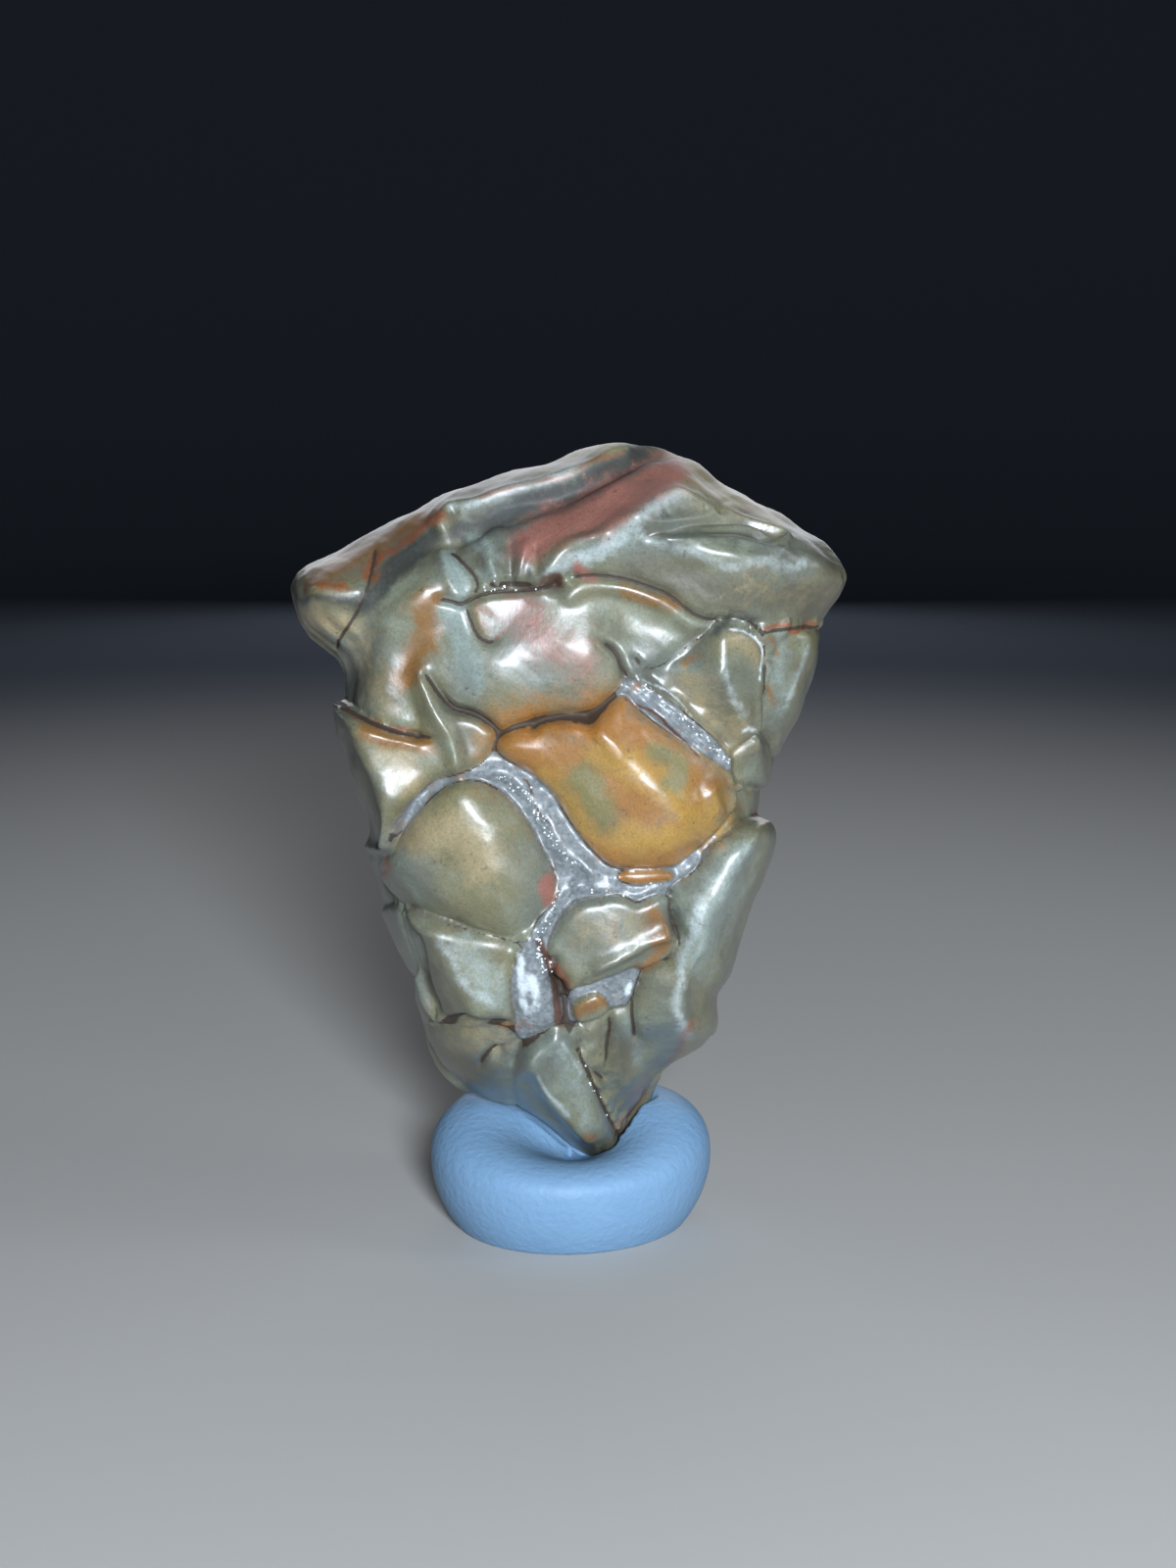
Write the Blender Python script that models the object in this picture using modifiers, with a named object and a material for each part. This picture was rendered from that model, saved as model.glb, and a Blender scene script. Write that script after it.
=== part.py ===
# A small scholars rock, waterworn jasper veined with quartz, standing on its point in a pad of putty.
# Metres, +Z up. The origin is under the middle of the object, on the surface that the pad stands on.
# The front of the stone was drawn over a frontal photograph, so its outlines are in that picture's
# pixels, across and down, and fromPhoto and toPhoto tie them to real sizes.
import math

import bpy
import numpy as np
from mathutils import Vector
from mathutils.bvhtree import BVHTree

# Driving dimensions
viewDistance = 0.198
viewPitch = math.radians(11)
viewAim = np.array((0.0015, 0.0, 0.0383))
pictureCentre = np.array((600.0, 800.0))
focalPixels = 2404.0
millimetre = 0.001
pixel = viewDistance / focalPixels

padWidth = 0.0241
padDepth = 0.0232
padCentre = (-0.0001, 0.0006)
padFoot = 0.6
padFootPower = 1.1
padWaist = 0.0056
padFrontHeight = 0.0086
padSideHeight = 0.0121
padFrontPower = 1.5
padTopPower = 0.8
padRimPower = 0.85
padDish = 0.0034
padDishWidth = 0.55
padUneven = 0.0002
restGap = 0.0003
pressGap = 1.3 * restGap

stoneVoxel = 0.00045
stoneTriangles = 7600
padSegments = 64
padRings = 72
padTriangles = 1900

jasperColour = (0.27, 0.26, 0.19)
jasperRoughness = 0.3
puttyColour = (0.15, 0.21, 0.30)
puttyRoughness = 0.6

# The ball that the body grows from: its proportions, its centre in the picture, and how far it may reach
ballShape = (24, 15, 32)
ballCentre = (590, 770)
farthest = 0.05
halvings = 18

# The stone's half thickness, front and back, in millimetres, down the picture
thicknessRows = (440, 500, 560, 640, 740, 840, 920, 1000, 1080, 1140, 1190)
frontThickness = (7.4, 10.2, 12.1, 12.0, 12.2, 12.6, 12.7, 12.3, 11.2, 9.4, 6.6)
backThickness = (7.2, 9.2, 11.2, 12.6, 13.0, 12.6, 11.4, 9.6, 7.4, 5.6, 4.2)
edgeRounding = 10.5

# How the lobes stand out of the body, in millimetres unless noted
seamFloor = -1.15
lobeSpread = 0.16
beyondLobe = 2.5
crestSlope = 1.4
crestRise = 0.28
finestGroove = 0.4
crackFade = 14
floorSwells = (0.18, 0.0016)
skinSwells = (0.12, 0.006)

# How far a place must face the camera, from -1 to 1, for the drawn front to give way to the back
frontTurn = (-0.42, -0.05)
foldTurn = (-0.2, 0.45)
awayTurn = (0.1, 0.6)

# The back and sides aren't in the picture: lobes of the same kind lie round seeds on the surface,
# (how many, how far apart at least, in millimetres)
backLobes = ((6, 16.5), (11, 7.5))
backRandomSeed = 7
seedMargin = 0.5
backRim = 2.4
backDrop = 1.3
backLift = (-0.2, 0.9)
backTilt = 0.13
mostTilt = 0.8
backSeam = 0.15
wideSeam = 0.55
wideSeams = (0.1, 0.8)
wideSeamSize = 0.02
backWarp = (0.8, 0.011)
backFloor = 0.3

silhouette = [
    (302, 594), (308, 583), (318, 575), (345, 559), (380, 538), (430, 513), (450, 500), (500, 483),
    (557, 466), (597, 453), (625, 448), (656, 449), (684, 456), (712, 471), (743, 491), (771, 505),
    (806, 528), (834, 548), (853, 565), (864, 582), (865, 592), (860, 608), (851, 622), (844, 635),
    (836, 641), (838, 654), (836, 672), (830, 693), (822, 714), (811, 734), (801, 754), (793, 772),
    (787, 790), (783, 808), (780, 826), (778, 836), (781, 850), (780, 864), (776, 884), (770, 903),
    (763, 916), (757, 934), (752, 957), (745, 978), (737, 995), (728, 1009), (722, 1030),
    (715, 1046), (705, 1062), (692, 1079), (681, 1090), (675, 1096), (670, 1110), (664, 1124),
    (656, 1140), (647, 1155), (637, 1165), (627, 1174), (616, 1178), (603, 1175), (588, 1167),
    (571, 1155), (552, 1139), (537, 1130), (520, 1128), (503, 1124), (486, 1116), (469, 1103),
    (456, 1092), (446, 1077), (438, 1058), (428, 1038), (420, 1020), (417, 1003), (414, 988),
    (404, 971), (394, 951), (387, 934), (387, 925), (380, 906), (375, 886), (374, 866), (377, 848),
    (371, 824), (361, 799), (349, 768), (342, 742), (342, 724), (348, 712), (347, 690), (347, 669),
    (334, 663), (318, 656), (306, 643), (301, 620),
]

# Where the body turns to its side more sharply: (line, half width, rounding), in millimetres
sharpEdges = [
    ([(346, 735), (366, 785), (388, 845)], 6.0, 3.2),
    ([(700, 470), (780, 512), (850, 560)], 6.0, 7.5),
    ([(450, 500), (560, 466), (650, 450)], 6.0, 9.0),
    ([(860, 580), (852, 610), (838, 640)], 4.5, 3.8),
    ([(832, 660), (815, 715), (792, 770)], 5.0, 3.6),
    ([(304, 600), (312, 645)], 4.0, 3.6),
    ([(770, 860), (748, 950), (716, 1030)], 4.0, 6.5),
]

# The stone's lobes. lift raises one, drop is how far its rim sinks, over the distance rim. A crest is
# (line, slopes, reach, radius): the surface falls away to the left and right of the line, as one goes
# along it, at those slopes and up to that far.
lobes = {
    "upperMass": dict(
        outline=[
            (250, 550), (250, 690), (320, 690), (345, 690), (320, 708), (348, 713), (362, 724),
            (373, 730), (395, 738), (413, 744), (428, 747), (462, 757), (462, 735), (450, 708),
            (436, 682), (446, 697), (456, 709), (466, 718), (478, 721), (491, 726), (503, 733),
            (512, 742), (520, 738), (537, 733), (556, 728), (580, 725), (603, 722), (618, 712),
            (630, 700), (634, 688), (640, 676), (652, 682), (664, 680), (676, 675), (688, 665),
            (704, 654), (718, 645), (728, 634), (747, 627), (766, 631), (778, 638), (783, 642),
            (808, 637), (829, 636), (850, 640), (910, 650), (910, 480), (700, 400), (560, 400),
            (380, 480)
        ],
        lift=0.1, drop=0.8, rim=1.1,
        crests=[([(290, 600), (330, 601), (366, 606)], (0.3, 0.3), 2.2, 0.7)],
    ),
    "shoulder": dict(
        outline=[
            (325, 722), (349, 722), (362, 732), (372, 738), (394, 746), (413, 752), (430, 756),
            (430, 740), (418, 700), (431, 689), (439, 704), (449, 717), (461, 727), (474, 731),
            (487, 736), (498, 743), (503, 749), (501, 758), (497, 768), (486, 780), (464, 788),
            (443, 794), (430, 804), (417, 816), (407, 827), (400, 838), (397, 853), (391, 866),
            (370, 862), (340, 800), (310, 750)
        ],
        lift=0.2, drop=0.9, rim=1.2,
        crests=[
            ([(346, 716), (356, 735), (367, 761), (379, 788), (389, 814), (395, 838), (393, 862)],
             (0.3, 0.95), 2.6, 0.5),
        ],
    ),
    "medallion": dict(
        outline=[
            (388, 884), (391, 873), (398, 863), (409, 850), (426, 833), (446, 813), (464, 802),
            (480, 799), (497, 803), (513, 813), (526, 826), (537, 841), (546, 858), (554, 874),
            (563, 892), (568, 905), (565, 917), (557, 926), (547, 936), (542, 947), (536, 957),
            (527, 959), (515, 956), (497, 951), (476, 946), (459, 941), (445, 938), (433, 933),
            (421, 929), (412, 925), (405, 918), (396, 905), (389, 895)
        ],
        lift=0.9, drop=1.5, rim=3.2,
        crests=[([(464, 808), (476, 824), (486, 841), (496, 860), (504, 885)], (0.34, 0.26), 3.5, 1.2)],
    ),
    "slabA": dict(
        outline=[
            (350, 846), (380, 852), (388, 862), (384, 884), (386, 898), (393, 910), (402, 921),
            (405, 926), (392, 929), (365, 918), (350, 880)
        ],
        lift=-0.5, drop=0.5, rim=0.8,
    ),
    "lowerLeft": dict(
        outline=[
            (414, 931), (433, 939), (459, 947), (476, 952), (497, 957), (517, 962), (529, 966),
            (531, 974), (524, 981), (519, 1000), (518, 1022), (522, 1036), (523, 1044), (507, 1042),
            (491, 1040), (467, 1041), (449, 1040), (442, 1027), (435, 1011), (431, 993), (428, 975),
            (422, 956), (416, 940)
        ],
        lift=0.5, drop=1.0, rim=1.2,
        crests=[
            ([(448, 946), (463, 967), (475, 989), (486, 1010), (500, 1038)], (0.55, 0.5), 3.2, 1.1),
            ([(521, 976), (517, 1000), (521, 1028)], (0.5, 0.15), 0.9, 0.3),
        ],
    ),
    "slabB": dict(
        outline=[
            (360, 925), (389, 926), (403, 926), (411, 932), (414, 942), (420, 958), (426, 976),
            (429, 993), (420, 996), (395, 990), (360, 955)
        ],
        lift=-0.3, drop=0.5, rim=0.7,
        crests=[([(398, 926), (408, 950), (420, 984)], (0.4, 0.6), 1.2, 0.35)],
    ),
    "slabC": dict(
        outline=[
            (395, 998), (420, 997), (430, 998), (434, 1013), (440, 1028), (447, 1041), (440, 1052),
            (425, 1048), (395, 1030)
        ],
        lift=-0.4, drop=0.5, rim=0.7,
    ),
    "bottomLeft": dict(
        outline=[
            (420, 1050), (449, 1045), (467, 1046), (491, 1045), (507, 1047), (520, 1051), (529, 1060),
            (532, 1074), (529, 1094), (527, 1112), (532, 1150), (490, 1150), (450, 1120), (420, 1080)
        ],
        lift=0.0, drop=0.8, rim=1.4,
    ),
    "tipLeft": dict(
        outline=[
            (530, 1082), (538, 1069), (551, 1060), (563, 1051), (571, 1046), (577, 1054), (588, 1070),
            (598, 1090), (605, 1112), (613, 1131), (621, 1148), (627, 1160), (636, 1170), (630, 1200),
            (590, 1200), (555, 1170), (530, 1140), (524, 1110)
        ],
        lift=0.9, drop=0.9, rim=1.3,
        crests=[
            ([(541, 1082), (551, 1101), (562, 1118), (577, 1137), (598, 1158)], (0.4, 0.9), 2.4, 0.8),
            ([(575, 1064), (584, 1090), (594, 1115), (603, 1142)], (0.35, 0.3), 1.2, 0.5),
        ],
    ),
    "rightLower": dict(
        outline=[
            (820, 836), (778, 839), (762, 844), (747, 855), (734, 864), (727, 872), (717, 886),
            (706, 896), (696, 903), (689, 911), (688, 925), (692, 942), (696, 957), (692, 970),
            (684, 980), (670, 987), (661, 992), (656, 1007), (649, 1021), (636, 1029), (622, 1033),
            (608, 1037), (597, 1043), (587, 1050), (584, 1058), (592, 1070), (602, 1090), (609, 1112),
            (616, 1130), (624, 1146), (631, 1157), (641, 1165), (655, 1185), (700, 1140),
            (760, 1070), (810, 960), (840, 860)
        ],
        lift=0.4, drop=1.0, rim=1.5,
        crests=[
            ([(768, 847), (752, 872), (736, 898), (717, 921), (708, 940), (706, 962), (697, 985),
              (689, 1008), (686, 1028), (692, 1043), (708, 1051)], (0.4, 0.6), 3.4, 1.1),
        ],
    ),
    "centreSmall": dict(
        outline=[
            (562, 967), (570, 947), (580, 931), (595, 921), (611, 919), (626, 916), (639, 919),
            (650, 924), (662, 920), (677, 915), (683, 926), (685, 940), (689, 956), (690, 966),
            (685, 976), (671, 982), (658, 987), (646, 984), (633, 989), (618, 994), (606, 999),
            (595, 1004), (583, 1006), (576, 997), (568, 986), (563, 976)
        ],
        lift=-0.1, drop=1.0, rim=1.6,
        crests=[
            ([(602, 995), (618, 985), (634, 973), (650, 963), (664, 959), (684, 960)],
             (0.35, 0.75), 2.4, 0.6),
        ],
    ),
    "amber": dict(
        outline=[
            (509, 764), (515, 752), (536, 745), (556, 740), (580, 738), (602, 741), (614, 732),
            (625, 720), (635, 712), (643, 719), (661, 735), (682, 750), (704, 764), (727, 779),
            (744, 792), (751, 804), (748, 821), (736, 838), (719, 856), (701, 869), (687, 879),
            (664, 884), (643, 885), (625, 882), (613, 872), (599, 858), (587, 842), (576, 825),
            (565, 806), (551, 793), (537, 783), (521, 774)
        ],
        lift=1.1, drop=1.5, rim=3.0,
        crests=[([(590, 730), (618, 754), (644, 783), (668, 808), (694, 834)], (0.3, 0.24), 3.2, 1.1)],
    ),
    "triangle": dict(
        outline=[
            (652, 691), (656, 687), (666, 684), (679, 680), (691, 670), (707, 660), (722, 650),
            (732, 638), (747, 633), (763, 637), (773, 647), (777, 662), (777, 683), (776, 703),
            (773, 724), (771, 743), (763, 755), (746, 769), (741, 764), (731, 752), (715, 738),
            (697, 722), (679, 709), (663, 700)
        ],
        lift=0.0, drop=1.0, rim=1.0,
        crests=[
            ([(672, 680), (700, 683), (730, 688)], (0.45, 0.45), 1.8, 0.5),
            ([(726, 655), (731, 685), (744, 714), (763, 752)], (0.5, 0.6), 2.6, 0.8),
        ],
    ),
    "wedge": dict(
        outline=[(633, 668), (641, 662), (648, 670), (654, 681), (650, 688), (640, 691), (636, 684)],
        lift=-0.5, drop=0.6, rim=0.7,
    ),
    "rightStrip": dict(
        outline=[
            (782, 649), (808, 644), (836, 643), (900, 650), (870, 720), (830, 790), (800, 800),
            (789, 784), (789, 768), (786, 756), (775, 748), (778, 733), (781, 713), (783, 693),
            (784, 672), (783, 656)
        ],
        lift=-0.4, drop=0.6, rim=0.9,
        crests=[
            ([(823, 636), (821, 662), (815, 690), (805, 716), (795, 740), (790, 764)],
             (0.75, 0.45), 2.4, 0.7),
        ],
    ),
    "knee": dict(
        outline=[
            (746, 773), (760, 763), (774, 753), (786, 759), (788, 771), (805, 790), (800, 801),
            (784, 801), (770, 801), (754, 801), (750, 793), (747, 783)
        ],
        lift=-0.3, drop=0.6, rim=0.9,
        crests=[([(776, 753), (778, 778), (777, 802)], (0.7, 0.3), 1.5, 0.5)],
    ),
    "shin": dict(
        outline=[
            (754, 805), (770, 805), (784, 804), (810, 806), (810, 836), (778, 835), (763, 837),
            (752, 845), (738, 853), (727, 862), (716, 870), (727, 855), (740, 842), (749, 826),
            (752, 814)
        ],
        lift=-0.5, drop=0.6, rim=0.8,
    ),
    "brightPatch": dict(
        outline=[
            (534, 971), (543, 974), (549, 985), (551, 1000), (553, 1015), (556, 1030), (554, 1042),
            (547, 1052), (538, 1060), (531, 1056), (526, 1040), (522, 1022), (522, 1000), (527, 982)
        ],
        lift=0.2, drop=0.9, rim=1.5,
    ),
    "patchRight": dict(
        outline=[
            (592, 1008), (607, 1003), (620, 997), (634, 992), (646, 988), (656, 992), (653, 1004),
            (646, 1018), (634, 1026), (620, 1029), (606, 1034), (596, 1039), (588, 1038), (586, 1022)
        ],
        lift=-0.7, drop=0.5, rim=1.0,
    ),
    "amberChip": dict(
        outline=[(633, 895), (642, 890), (666, 890), (681, 891), (684, 894), (666, 898), (646, 900)],
        lift=-0.2, drop=0.5, rim=0.6,
    ),
    "ochreChip": dict(
        outline=[(587, 1030), (595, 1023), (609, 1018), (617, 1024), (611, 1032), (596, 1038)],
        lift=-0.1, drop=0.4, rim=0.5,
    ),
}

# The raised banks of quartz that fill the widest cracks: (line, height, half width), in millimetres
seamBanks = [
    ([(642, 702), (664, 722), (690, 742), (716, 766), (740, 790), (750, 800)], 0.75, 0.55),
    ([(652, 694), (674, 712), (700, 732), (724, 754), (744, 776)], 0.75, 0.5),
    ([(402, 846), (418, 828), (436, 812), (452, 800), (478, 791), (498, 786)], 0.6, 0.7),
    ([(510, 788), (532, 800), (552, 826), (566, 850), (584, 874), (604, 890), (626, 896)], 0.75, 0.8),
    ([(590, 904), (618, 908), (650, 912), (672, 904), (690, 896), (712, 880), (736, 860)], 0.6, 0.6),
    ([(572, 908), (562, 930), (550, 948), (544, 966), (548, 976)], 0.7, 0.7),
]

# Places where two lobes have grown together, so the seam between them is shallow
welds = [
    ([(405, 927), (445, 939), (500, 955), (532, 964)], 0.75, 0.9),
    ([(778, 645), (808, 640), (840, 640)], 0.8, 0.9),
    ([(444, 1043), (480, 1043), (522, 1047)], 0.6, 0.8),
    ([(430, 1000), (437, 1020), (447, 1042)], 0.6, 0.7),
    ([(345, 715), (372, 732), (410, 747), (445, 753)], 0.5, 0.7),
    ([(582, 1058), (600, 1095), (616, 1130), (632, 1162)], 0.6, 0.7),
    ([(752, 803), (784, 803)], 0.5, 0.6),
    ([(750, 845), (778, 837)], 0.5, 0.7),
    ([(672, 682), (700, 660), (722, 646)], 0.4, 0.6),
    ([(752, 762), (776, 750), (790, 766)], 0.4, 0.6),
]

# Ridges and troughs across the lobes: (line, height, half width), in millimetres
folds = [
    ([(449, 534), (455, 518), (468, 511), (490, 508), (520, 498), (560, 488), (600, 473), (625, 460),
      (648, 451)], 0.9, 0.7),
    ([(478, 526), (500, 516), (522, 508), (560, 500), (590, 491), (612, 479), (634, 464)], -0.6, 0.42),
    ([(476, 552), (520, 536), (570, 522), (620, 504), (660, 484), (682, 470)], -1.7, 1.9),
    ([(596, 570), (612, 556), (640, 539), (667, 521), (682, 508), (694, 499)], 1.2, 1.3),
    ([(694, 499), (708, 506), (726, 517)], 0.5, 0.7),
    ([(506, 544), (498, 565), (506, 592)], 0.7, 0.65),
    ([(521, 556), (523, 592)], -0.5, 0.4),
    ([(537, 558), (531, 574), (528, 590)], 0.5, 0.4),
    ([(546, 560), (550, 588)], -0.4, 0.4),
    ([(604, 548), (582, 552), (566, 570), (557, 592)], 0.8, 0.8),
    ([(652, 538), (672, 549), (690, 558), (715, 565), (740, 571), (762, 577), (782, 574), (800, 568),
      (830, 576), (856, 590)], 1.35, 1.9),
    ([(662, 545), (690, 539), (720, 535), (750, 535), (772, 540), (798, 550)], -0.7, 0.42),
    ([(680, 552), (715, 547), (748, 547), (775, 553), (798, 558)], 0.35, 0.45),
    ([(745, 519), (765, 526), (785, 536), (804, 547)], 0.45, 0.45),
    ([(582, 609), (600, 601), (630, 601), (655, 608), (680, 620), (704, 638)], 0.35, 0.6),
    ([(496, 684), (545, 680), (600, 668)], 1.5, 4.0),
    ([(640, 632), (672, 646), (700, 664)], -0.8, 2.6),
    ([(372, 614), (400, 586), (440, 560)], -0.5, 1.4),
    ([(386, 700), (392, 664), (404, 632), (430, 602)], 0.8, 1.8),
    ([(455, 640), (462, 670), (470, 700)], -0.4, 1.4),
    ([(452, 564), (456, 585), (466, 606)], 0.4, 0.6),
    ([(352, 728), (372, 740), (395, 750), (424, 758)], 0.4, 0.5),
    ([(431, 686), (436, 705), (442, 724), (452, 742), (461, 758), (466, 784)], 0.75, 0.8),
    ([(454, 884), (468, 912)], -0.15, 1.2),
    ([(430, 886), (446, 908)], 0.2, 1.4),
    ([(652, 752), (690, 782), (712, 804)], -0.35, 1.1),
    ([(728, 812), (740, 828)], 0.45, 0.9),
    ([(612, 745), (630, 770)], 0.3, 0.7),
    ([(625, 1040), (632, 1070), (636, 1100)], 0.3, 0.8),
    ([(604, 1056), (612, 1080)], 0.25, 0.7),
    ([(662, 1080), (650, 1110), (640, 1140)], 0.3, 0.8),
    ([(712, 985), (706, 1010), (712, 1040)], -0.3, 0.8),
    ([(738, 980), (733, 1002)], 0.3, 0.4),
    ([(700, 1070), (684, 1084)], 0.3, 0.6),
]

# Open cracks: (line, depth, half width), in millimetres; each fades out at its ends
cracks = [
    ([(440, 611), (458, 613), (471, 616), (486, 609), (505, 604), (530, 603), (555, 600), (580, 592)],
     0.75, 0.3),
    ([(490, 597), (520, 596), (552, 597)], 0.5, 0.4),
    ([(576, 590), (606, 587), (640, 592), (662, 599), (680, 606), (695, 617), (708, 627), (722, 632),
      (742, 630)], 0.7, 0.26),
    ([(452, 558), (468, 570), (483, 586), (487, 600), (479, 613)], 0.35, 0.26),
    ([(474, 612), (478, 628), (484, 643), (491, 652), (502, 655), (512, 648)], 0.35, 0.26),
    ([(384, 550), (380, 578), (376, 600), (368, 618), (359, 634), (347, 652), (343, 672)], 0.22, 0.26),
    ([(340, 714), (360, 727), (378, 737), (400, 746), (420, 750), (450, 754)], 0.6, 0.26),
    ([(429, 680), (440, 697), (450, 712), (463, 723), (477, 726), (490, 731), (505, 744)], 0.7, 0.26),
    ([(608, 652), (622, 660), (630, 670), (635, 684), (646, 698)], 0.8, 0.28),
    ([(643, 662), (652, 676), (662, 684)], 0.4, 0.26),
    ([(534, 750), (552, 738), (574, 733), (606, 733)], 0.5, 0.28),
    ([(622, 1030), (623, 1050), (622, 1070), (619, 1094)], 0.5, 0.26),
    ([(693, 977), (672, 981), (658, 990), (650, 1010), (645, 1030), (647, 1050), (652, 1070)], 0.6, 0.26),
    ([(684, 903), (683, 922), (688, 945), (697, 962)], 0.8, 0.3),
    ([(583, 1054), (592, 1043), (612, 1036)], 0.4, 0.26),
    ([(598, 1086), (612, 1098), (622, 1108)], 0.35, 0.26),
    ([(487, 1096), (493, 1080), (508, 1066), (520, 1062)], 0.5, 0.3),
    ([(584, 1062), (600, 1096), (616, 1130), (636, 1168)], 0.35, 0.26),
    ([(404, 927), (445, 940), (500, 956), (536, 966)], 0.25, 0.26),
    ([(442, 1044), (480, 1043), (526, 1049)], 0.25, 0.26),
    ([(776, 646), (808, 641), (842, 640)], 0.25, 0.26),
]

# Pits: (centre, radius, depth); radius and depth in millimetres
pits = [
    ((565, 596), 0.75, 1.6),
    ((582, 588), 0.55, 0.8),
    ((462, 521), 0.35, 0.45),
    ((509, 1072), 0.9, 0.9),
    ((524, 1064), 0.7, 0.7),
    ((530, 1082), 0.6, 0.7),
    ((568, 1000), 0.7, 1.3),
    ((573, 1022), 0.6, 1.2),
    ((564, 980), 0.5, 0.9),
    ((545, 742), 0.5, 0.4),
    ((600, 737), 0.5, 0.3),
    ((748, 634), 0.8, 0.7),
    ((768, 640), 0.6, 0.6),
    ((683, 523), 0.2, 0.25),
    ((719, 520), 0.2, 0.2),
    ((396, 887), 0.2, 0.15),
]


def fromPhoto(across, down, depth):
    # The point that far back in the scene which the camera sees at this place in the picture
    forward, up = viewAxes()
    ray = forward + np.array((1, 0, 0)) * (across - pictureCentre[0]) / focalPixels
    ray = ray - up * (down - pictureCentre[1]) / focalPixels
    start = viewAim - forward * viewDistance
    return start + ray * (depth - start[1]) / ray[1]


def viewAxes():
    forward = np.array((0, math.cos(viewPitch), -math.sin(viewPitch)))
    up = np.array((0, math.sin(viewPitch), math.cos(viewPitch)))
    return forward, up


def toPhoto(points):
    # Where the camera sees each point, across and down in the picture
    forward, up = viewAxes()
    offset = points - (viewAim - forward * viewDistance)
    away = offset @ forward
    across = pictureCentre[0] + focalPixels * offset[:, 0] / away
    down = pictureCentre[1] - focalPixels * (offset @ up) / away
    return np.column_stack((across, down))


def rounded(line, closed=False):
    # A smooth curve through the drawn points
    points = np.array(line, float)
    count = len(points)
    curve = []
    for i in range(count if closed else count - 1):
        if closed:
            before, start, end, after = (points[(i + k) % count] for k in (-1, 0, 1, 2))
        else:
            start, end = points[i], points[i + 1]
            before = points[max(i - 1, 0)]
            after = points[min(i + 2, count - 1)]
        for t in (0, 1 / 3, 2 / 3):
            bend = (2 * start + (end - before) * t
                    + (2 * before - 5 * start + 4 * end - after) * t ** 2
                    + (3 * start - before - 3 * end + after) * t ** 3) / 2
            curve.append(bend)
    curve.append(curve[0] if closed else points[-1])
    return np.array(curve)


def lineDistance(places, curve):
    # How far each place is from the curve, in millimetres on the stone
    nearest = np.full(len(places), 1e9)
    for start, end in zip(curve[:-1], curve[1:]):
        along = end - start
        share = np.clip((places - start) @ along / max(along @ along, 1e-9), 0, 1)
        away = places - start - share[:, None] * along
        nearest = np.minimum(nearest, away[:, 0] ** 2 + away[:, 1] ** 2)
    return np.sqrt(nearest) * pixel / millimetre


def sideDistance(places, curve):
    # How far each place is from the curve, in millimetres, and whether it is to the curve's right
    nearest = np.full(len(places), 1e9)
    onRight = np.zeros(len(places), bool)
    for start, end in zip(curve[:-1], curve[1:]):
        run = end - start
        offset = places - start
        share = np.clip(offset @ run / max(run @ run, 1e-9), 0, 1)
        away = offset - share[:, None] * run
        gap = away[:, 0] ** 2 + away[:, 1] ** 2
        closer = gap < nearest
        nearest = np.where(closer, gap, nearest)
        onRight = np.where(closer, run[0] * offset[:, 1] > run[1] * offset[:, 0], onRight)
    return np.sqrt(nearest) * pixel / millimetre, onRight


def insideDistance(places, curve):
    # As lineDistance for a closed curve: positive inside it and negative outside
    inside = np.zeros(len(places), bool)
    across, down = places.T
    for start, end in zip(curve[:-1], curve[1:]):
        crosses = (start[1] > down) != (end[1] > down)
        rise = end[1] - start[1] or 1e-12
        meets = start[0] + (down - start[1]) * (end[0] - start[0]) / rise
        inside ^= crosses & (across < meets)
    return np.where(inside, 1, -1) * lineDistance(places, curve)


def near(places, curve, reach):
    # The places worth measuring: those within reach, in pixels, of the curve's box
    low, high = curve.min(0) - reach, curve.max(0) + reach
    return np.all((places > low) & (places < high), axis=1)


def smoothStep(low, high, value):
    share = np.clip((value - low) / (high - low), 0, 1)
    return share * share * (3 - 2 * share)


def waves(points, size, seed):
    # A smooth random field, about -1 to 1, whose swells are about this size in metres
    random = np.random.default_rng(seed)
    total = np.zeros(len(points))
    for _ in range(9):
        direction = random.normal(size=3)
        direction *= 2 * math.pi / size / np.linalg.norm(direction)
        total += np.sin(points @ direction * random.uniform(0.6, 1.6) + random.uniform(0, 6.3))
    return total / 3


def insideBody(points, outline):
    # How far inside the smooth body each point is, in millimetres, before the lobes are raised
    places = toPhoto(points)
    margin = insideDistance(places, outline)
    rounding = np.full(len(places), edgeRounding)
    for line, halfWidth, tighter in sharpEdges:
        rounding += (tighter - rounding) * along(places, line, halfWidth)
    edge = np.clip(margin / rounding, 0, 1)
    swell = np.sqrt(1 - (1 - edge) ** 2)
    front = np.interp(places[:, 1], thicknessRows, frontThickness) * swell
    back = np.interp(places[:, 1], thicknessRows, backThickness) * swell
    depth = points[:, 1] / millimetre
    return np.minimum(margin, np.minimum(depth + front, back - depth))


def bodyMesh(voxel):
    # A ball grown outwards to the rounded outline, then remeshed to even faces
    bpy.ops.mesh.primitive_ico_sphere_add(subdivisions=6, radius=1)
    ball = bpy.context.object
    directions = verticesOf(ball.data) * ballShape
    directions /= np.linalg.norm(directions, axis=1)[:, None]
    centre = fromPhoto(*ballCentre, 0)
    outline = rounded(silhouette, closed=True)
    low = np.zeros(len(directions))
    high = np.full(len(directions), farthest)
    for _ in range(halvings):
        middle = (low + high) / 2
        within = insideBody(centre + directions * middle[:, None], outline) > 0
        low = np.where(within, middle, low)
        high = np.where(within, high, middle)
    moveVertices(ball.data, centre + directions * low[:, None])
    smooth = ball.modifiers.new("ease", "SMOOTH")
    smooth.factor = 0.5
    smooth.iterations = 2
    return evenFaces(ball, voxel)


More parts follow.
